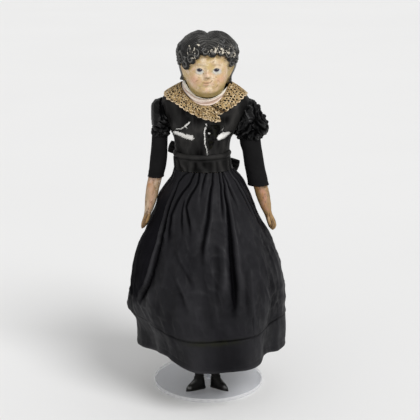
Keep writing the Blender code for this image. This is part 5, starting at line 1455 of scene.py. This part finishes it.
        # painted forearm and hand
        P, line, s, t = path_rings(FORE[side], 64, 150)
        C = line[:, None, :3]
        z = line[:, 2][:, None]
        hand = 1 - step(z, 249, 256) if side == "right" else 1 - step(z, 252, 262)
        fingers = 1 - step(z, 244, 251)
        f = t[None, :]
        front = np.cos(f) > 0
        across = np.sin(f)
        groove = np.zeros_like(P[..., 0])
        # grooves between the fingers, cut in and painted dark as shade
        for at in (-0.42, 0.02, 0.46):
            groove = np.maximum(groove, hump(np.where(np.abs(np.cos(f)) > 0.2, across - at, 9), 0.12) * fingers * step(z, 233.8, 235.5))
        wrist = hump(z - 256, 2.0)
        scale = 1 + 0.03 * noise(P / 8.0, 6) - 0.13 * groove - 0.03 * wrist
        P = C + (P - C) * scale[..., None]
        N = normals(P, True)
        P = P + N * (0.18 * fbm(P / 3.0, 3, 12))[..., None]
        streak = hump(f - 0.15 * out + 0.5 * noise(pts(0 * f, z / 14.0, 0 * f + out), 4), 0.55) * (1 - hand)
        pale = step(z, 290, 303) + 0 * f
        # rims: painted shade down the sides of the forearm
        rims = 0.55 * step(np.abs(np.sin(f)), 0.80, 1.0) * (0.6 + 0.8 * noise(P / 6.0, 33))
        attributes = {"hand": np.broadcast_to(0.75 * hand, P.shape[:2]), "groove": np.clip(0.95 * groove, 0, 1), "flush": np.clip((0.95 if side == "right" else 1.2) * streak, 0, 1), "pale": np.clip(pale * 0.8, 0, 1), "rim": np.clip(rims, 0, 1)}
        patchy = np.clip(0.55 + 0.7 * noise(pts(P[..., 0] / 5.0, P[..., 1] / 5.0, P[..., 2] / 9.0), 45), 0, 1)
        attributes["cream"] = np.clip((0.42 if side == "right" else 0.06) * patchy * (1 - 0.8 * hand) + (0.60 * hump(z - 261, 9) * patchy if side == "right" else 0), 0, 1)
        attributes["gold"] = np.clip((0.0 if side == "right" else 0.70) * (1.3 - patchy) * (1 - 0.3 * hand) * (1 - 0.7 * streak), 0, 1)
        # a separate thumb lies along the front of the hand
        thumb = {
            "right": [(-77.6, AY - 3.8, 254.0, 0.9, 1.1), (-78.6, AY - 4.9, 251.4, 1.9, 2.1), (-80.2, AY - 5.9, 247.0, 2.0, 2.1), (-82.0, AY - 6.6, 243.0, 1.6, 1.8), (-82.8, AY - 6.8, 241.2, 0.5, 0.6)],
            "left": [(78.8, AY - 3.6, 252.0, 1.0, 1.2), (79.4, AY - 4.8, 249.4, 2.1, 2.2), (80.4, AY - 6.2, 245.0, 2.2, 2.3), (81.6, AY - 7.2, 240.8, 1.7, 1.9), (82.0, AY - 7.4, 239.0, 0.5, 0.6)],
        }[side]
        T, _, _, _ = path_rings(thumb, 28, 36)
        along = np.array(sorted((p[2], p[0]) for p in thumb))
        beside = np.abs(P[..., 0] - np.interp(P[..., 2], along[:, 0], along[:, 1]))
        shade = 0.9 * hump(beside - 2.2, 0.8) * front * step(P[..., 2], 238, 241) * (1 - step(P[..., 2], 252, 255))
        stain = 0.5 * hand * step(noise(P / 2.6, 71), 0.0, 0.5) * (1.0 if side == "right" else 0.35)
        attributes["groove"] = np.clip(np.maximum(attributes["groove"], shade) + stain, 0, 1)
        o = body(f"forearm_{side}_painted", P, LOOK["limb"], attributes)
        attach(o, fore)
        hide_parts(f"forearm_{side}")
        o2 = body(f"thumb_{side}_painted", T, LOOK["limb"], {"hand": np.full(T.shape[:2], 0.75), "groove": np.zeros(T.shape[:2]), "flush": np.zeros(T.shape[:2]), "pale": np.zeros(T.shape[:2]), "rim": np.zeros(T.shape[:2]), "cream": np.zeros(T.shape[:2]), "gold": np.zeros(T.shape[:2])})
        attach(o2, fore)


arm_pieces()


# ---- body and legs inside the clothes -------------------------------------------------
def torso_piece():
    lo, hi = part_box("torso")
    top, bottom = hi[2] / MM - 0.3, lo[2] / MM + 0.3
    cad = np.array([v.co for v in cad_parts["torso"].data.vertices]) / MM
    levels = np.linspace(top, bottom, 110)
    made_rows = []
    for z in np.linspace(top, bottom, 22):
        band = cad[np.abs(cad[:, 2] - z) < 9]
        if not len(band):
            band = cad[np.argsort(np.abs(cad[:, 2] - z))[:16]]
        made_rows.append((z, (band[:, 0].min() + band[:, 0].max()) / 2, (band[:, 1].min() + band[:, 1].max()) / 2, (band[:, 0].max() - band[:, 0].min()) / 2 - 0.4, (band[:, 1].max() - band[:, 1].min()) / 2 - 0.4))
    P = rings(made_rows, 96, levels, power=2.2)
    end = np.minimum(step(top - levels, -2, 9), step(levels - bottom, -2, 12))[:, None]
    C = P.mean(1, keepdims=True)
    P = C + (P - C) * (0.35 + 0.65 * np.sqrt(end))[..., None]
    N = normals(P, True)
    t = np.linspace(-math.pi, math.pi, 96, endpoint=False)[None, :]
    P = P + N * (0.7 * noise(P / 12.0, 3) - 0.9 * (hump(np.abs(t) - math.pi / 2, 0.05) + hump(np.abs(t) - math.pi, 0.04)) - 0.8)[..., None]
    o = body("torso_linen", P, LOOK["linen"])
    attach(o, "doll")
    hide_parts("torso")


torso_piece()

LEGS = {
    "right": {"hip": -23.0, "knee": -17.5, "ankle": (-12.8, -45.0), "heel": (-8.6, -43.4), "toe": (-28.6, -55.6)},
    "left": {"hip": 11.5, "knee": 13.6, "ankle": (10.2, -41.0), "heel": (8.2, -39.6), "toe": (24.4, -53.4)},
}


def leg_pieces():
    for side, d in LEGS.items():
        xh, xk = d["hip"], d["knee"]
        ax, ay = d["ankle"]
        rows = [(249.4, xh, -38, 3.0, 2.4), (247.2, xh, -38, 9.0, 7.2), (243.0, xh, -38, 11.8, 10.4), (236.0, xh, -38, 12.6, 11.4), (215.0, xh * 0.8 + xk * 0.2, -38.4, 12.2, 12.8), (180.0, xh * 0.45 + xk * 0.55, -39.0, 10.8, 11.8), (150.0, xh * 0.2 + xk * 0.8, -40, 9.2, 10.2), (137.0, xk, -40, 8.4, 9.2), (134.4, xk, -40, 5.0, 5.6)]
        P = rings(rows, 64, np.linspace(249.4, 134.4, 110))
        N = normals(P, True)
        t = np.linspace(-math.pi, math.pi, 64, endpoint=False)[None, :]
        z = P[..., 2]
        P = P + N * (0.5 * noise(P / 9.0, 5) - 0.6 * hump(np.abs(t) - math.pi, 0.08) - 0.7 * hump(z - 243, 1.6) * np.cos(t * 7))[..., None]
        o = body(f"upper_leg_{side}_linen", P, LOOK["linen"])
        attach(o, f"{side}_upper_leg")
        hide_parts(f"upper_leg_{side}")

        rows = [(133.2, xk, -40, 2.0, 2.0), (131.6, xk, -40, 5.8, 6.0), (127.0, xk, -40, 7.7, 8.1), (112.0, xk * 0.9 + ax * 0.1, -40, 8.1, 9.1), (90.0, xk * 0.7 + ax * 0.3, -32 + ay * 0.2, 7.9, 8.9), (66.0, xk * 0.4 + ax * 0.6, -20 + ay * 0.5, 6.7, 7.3), (48.0, ax, ay, 5.6, 5.8), (46.8, ax, ay, 4.6, 4.8)]
        P = rings(rows, 56, np.linspace(133.2, 46.8, 100))
        N = normals(P, True)
        t = np.linspace(-math.pi, math.pi, 56, endpoint=False)[None, :]
        P = P + N * (0.30 * noise(pts(P[..., 0] / 6, P[..., 1] / 6, P[..., 2] / 3.2), 7) * (1 - step(P[..., 2], 60, 90)) - 0.3 * hump(np.abs(t) - math.pi, 0.07))[..., None]
        o = body(f"lower_leg_{side}_stocking", P, LOOK["stocking"])
        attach(o, f"{side}_lower_leg")
        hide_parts(f"lower_leg_{side}")

        # laced boot: rings along the height, each a pointed oval set along the foot
        hx, hy = d["heel"]
        tx, ty = d["toe"]
        long = math.hypot(tx - hx, ty - hy)
        fx, fy = (tx - hx) / long, (ty - hy) / long
        boot = [
            # z, toe reach, heel reach, half width, pointedness
            (48.8, 6.5, 6.5, 6.5, 0.0), (47.6, 6.6, 6.6, 6.5, 0.0), (45.0, 6.2, 6.2, 6.1, 0.0), (38.0, 5.6, 5.6, 5.4, 0.0), (31.0, 5.6, 6.0, 5.0, 0.0), (25.5, 6.8, 6.8, 5.1, 0.05), (21.0, 9.2, 7.2, 5.4, 0.10), (17.4, 14.6, 7.2, 5.8, 0.10), (14.2, 20.6, 6.8, 6.0, 0.12), (11.6, 23.4, 6.3, 6.0, 0.14), (9.6, 24.0, 6.0, 5.7, 0.16), (8.9, 23.4, 5.6, 5.2, 0.16),
        ]
        rows = np.array(boot, float)[::-1]
        z = np.concatenate([np.linspace(48.8, 47.4, 7)[:-1], np.linspace(47.4, 8.9, 80)])[:, None]
        reach, back, half, point = (curve(z, rows[:, 0], rows[:, k]) for k in (1, 2, 3, 4))
        n = 72
        p = np.linspace(math.pi, -math.pi, n, endpoint=False)[None, :]
        cx, cy = (curve(z, [8.0, 22.0, 46.5], [hx * 0.75 + ax * 0.25, ax * 0.9 + hx * 0.1, ax]), curve(z, [8.0, 22.0, 46.5], [hy * 0.75 + ay * 0.25, ay * 0.9 + hy * 0.1, ay]))
        c, sn = np.cos(p), np.sin(p)
        lx = np.where(c > 0, reach * c, back * c)
        ly = half * sn * (1 - point * np.clip(c, 0, 1) ** 1.5)
        P = pts(cx + fx * lx - fy * ly, cy + fy * lx + fx * ly, z + 0 * p)
        N = normals(P, True)
        ankle = hump(z - 27, 7) * np.cos(z * TAU / 4.6 + 1.2 * c) * 0.38
        vamp = 0.30 * hump(lx - 14, 4.0) * np.cos(lx * TAU / 3.2) * step(c, 0.2, 0.6) * (z < 20)
        toecap = 0.35 * step(lx, 18.2, 18.8) * (z < 16)
        lace = 0.55 * hump(sn, 0.16) * (c > 0) * (np.cos(z * TAU / 3.4) > 0.1) * step(z, 17, 20) * (1 - step(z, 43, 45))
        tongue = -0.35 * hump(np.abs(sn) - 0.30, 0.07) * (c > 0) * step(z, 17, 20)
        D = ankle + vamp + toecap + lace + tongue + 0.16 * noise(P / 2.4, 9) + 0.3 * hump(z - 47.6, 0.8)
        D = D * (1 - step(z, 47.8, 48.6))
        P = P + N * D[..., None]
        wear = np.clip(0.9 * step(lx, 20, 25) * (z < 14) + 0.5 * hump(z - 9.6, 0.8) + 0.25 * ankle, 0, 1) + 0 * p
        # painted highlights on the toe cap, across the instep and down the shaft
        toe = np.exp(-(((lx - 20.0) / 2.6) ** 2) - ((z - 13.0) / 2.4) ** 2) * (c > 0)
        instep = 0.7 * hump(z - 21.0 + 0.55 * (lx - 7.0), 1.6) * step(lx, 4.0, 7.0) * (1 - step(lx, 14, 17)) * hump(sn - 0.25, 0.32)
        shaft = 0.55 * hump(sn + (0.55 if side == "right" else -0.55), 0.16) * (c > 0) * step(z, 26, 32)
        scuff_and_highlight = np.clip(np.clip(np.maximum(np.maximum(toe, instep), shaft), 0, 1) * (0.75 + 0.5 * noise(P / 2.0, 19)), 0, 1)
        lip = P[:1] * 1.0
        centre = lip.mean(axis=1, keepdims=True)
        inner = [centre + (lip - centre) * 0.945 + np.array([0, 0, h]) for h in (-2.3, -1.2, -0.1)]
        P = np.concatenate(inner + [P])
        wear, scuff_and_highlight = (np.concatenate([np.repeat(a[:1], 3, axis=0), a]) for a in (wear, scuff_and_highlight))
        o = body(f"boot_{side}_leather", P, LOOK["leather"], {"wear": wear, "scuff_and_highlight": scuff_and_highlight})
        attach(o, f"{side}_lower_leg")
        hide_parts(f"boot_{side}")

        # sole with a low heel
        z = np.array([8.75, 8.5, 7.5, 7.15])[:, None]
        grow = np.array([0.4, 0.7, 0.7, 0.3])[:, None]
        lx = np.where(c > 0, (23.8 + grow) * c, (5.8 + grow) * c)
        waist = 1 - 0.16 * hump(lx - 6.0, 4.0)
        ly = (5.3 + grow) * sn * (1 - 0.18 * np.clip(c, 0, 1) ** 1.5) * waist
        cx, cy = hx * 0.75 + ax * 0.25, hy * 0.75 + ay * 0.25
        P = pts(cx + fx * lx - fy * ly, cy + fy * lx + fx * ly, z + 0 * lx)
        o = body(f"boot_sole_{side}_leather", P, LOOK["sole"])
        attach(o, f"{side}_lower_leg")
        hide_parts(f"boot_sole_{side}")


leg_pieces()


# ---- floor, light and camera ----------------------------------------------------------
floor_look = Look("studio_floor", rough=0.9, spec=0.1)
floor_look.colour(floor_look.mix(floor_look.ramp(floor_look.noise(1.2, 2), (0.3, 0.0), (0.7, 1.0)), (0.80, 0.80, 0.80), (0.815, 0.815, 0.815)))
bpy.ops.mesh.primitive_plane_add(size=60, location=(0, 20, -0.0002))
floor = bpy.context.object
floor.name = "studio_floor"
floor.data.materials.append(floor_look.mat)

scene = bpy.context.scene
world = bpy.data.worlds.new("studio_light")
scene.world = world
world.use_nodes = True
bg = next(n for n in world.node_tree.nodes if n.type == "BACKGROUND")
bg.inputs["Color"].default_value = (1.0, 0.998, 0.99, 1)
bg.inputs["Strength"].default_value = 0.59


def lamp(name, kind, energy, towards, angle=None, size=None, place=None, colour=(1, 1, 1)):
    data = bpy.data.lights.new(name, kind)
    data.energy = energy
    data.color = colour
    if kind == "SUN":
        data.angle = math.radians(angle)
    else:
        data.shape = "DISK"
        data.size = size
    o = bpy.data.objects.new(name, data)
    scene.collection.objects.link(o)
    o.rotation_mode = "QUATERNION"
    o.rotation_quaternion = Vector(towards).to_track_quat("-Z", "Y")
    if place:
        o.location = place
    return o


lamp("key_softbox", "SUN", 1.9, (-0.50, 0.60, -0.80), angle=26)
lamp("fill_softbox", "SUN", 0.35, (0.5, 0.8, -0.35), angle=60)

cam = bpy.data.cameras.new("camera")
cam.lens = 95.07
cam.sensor_width = 36.0
camera = bpy.data.objects.new("camera", cam)
scene.collection.objects.link(camera)
camera.location = (0.0023, -1.45, 0.6536)
camera.rotation_euler = (math.radians(90 - 15.588), 0, 0)
scene.camera = camera
scene.view_settings.view_transform = "Standard"
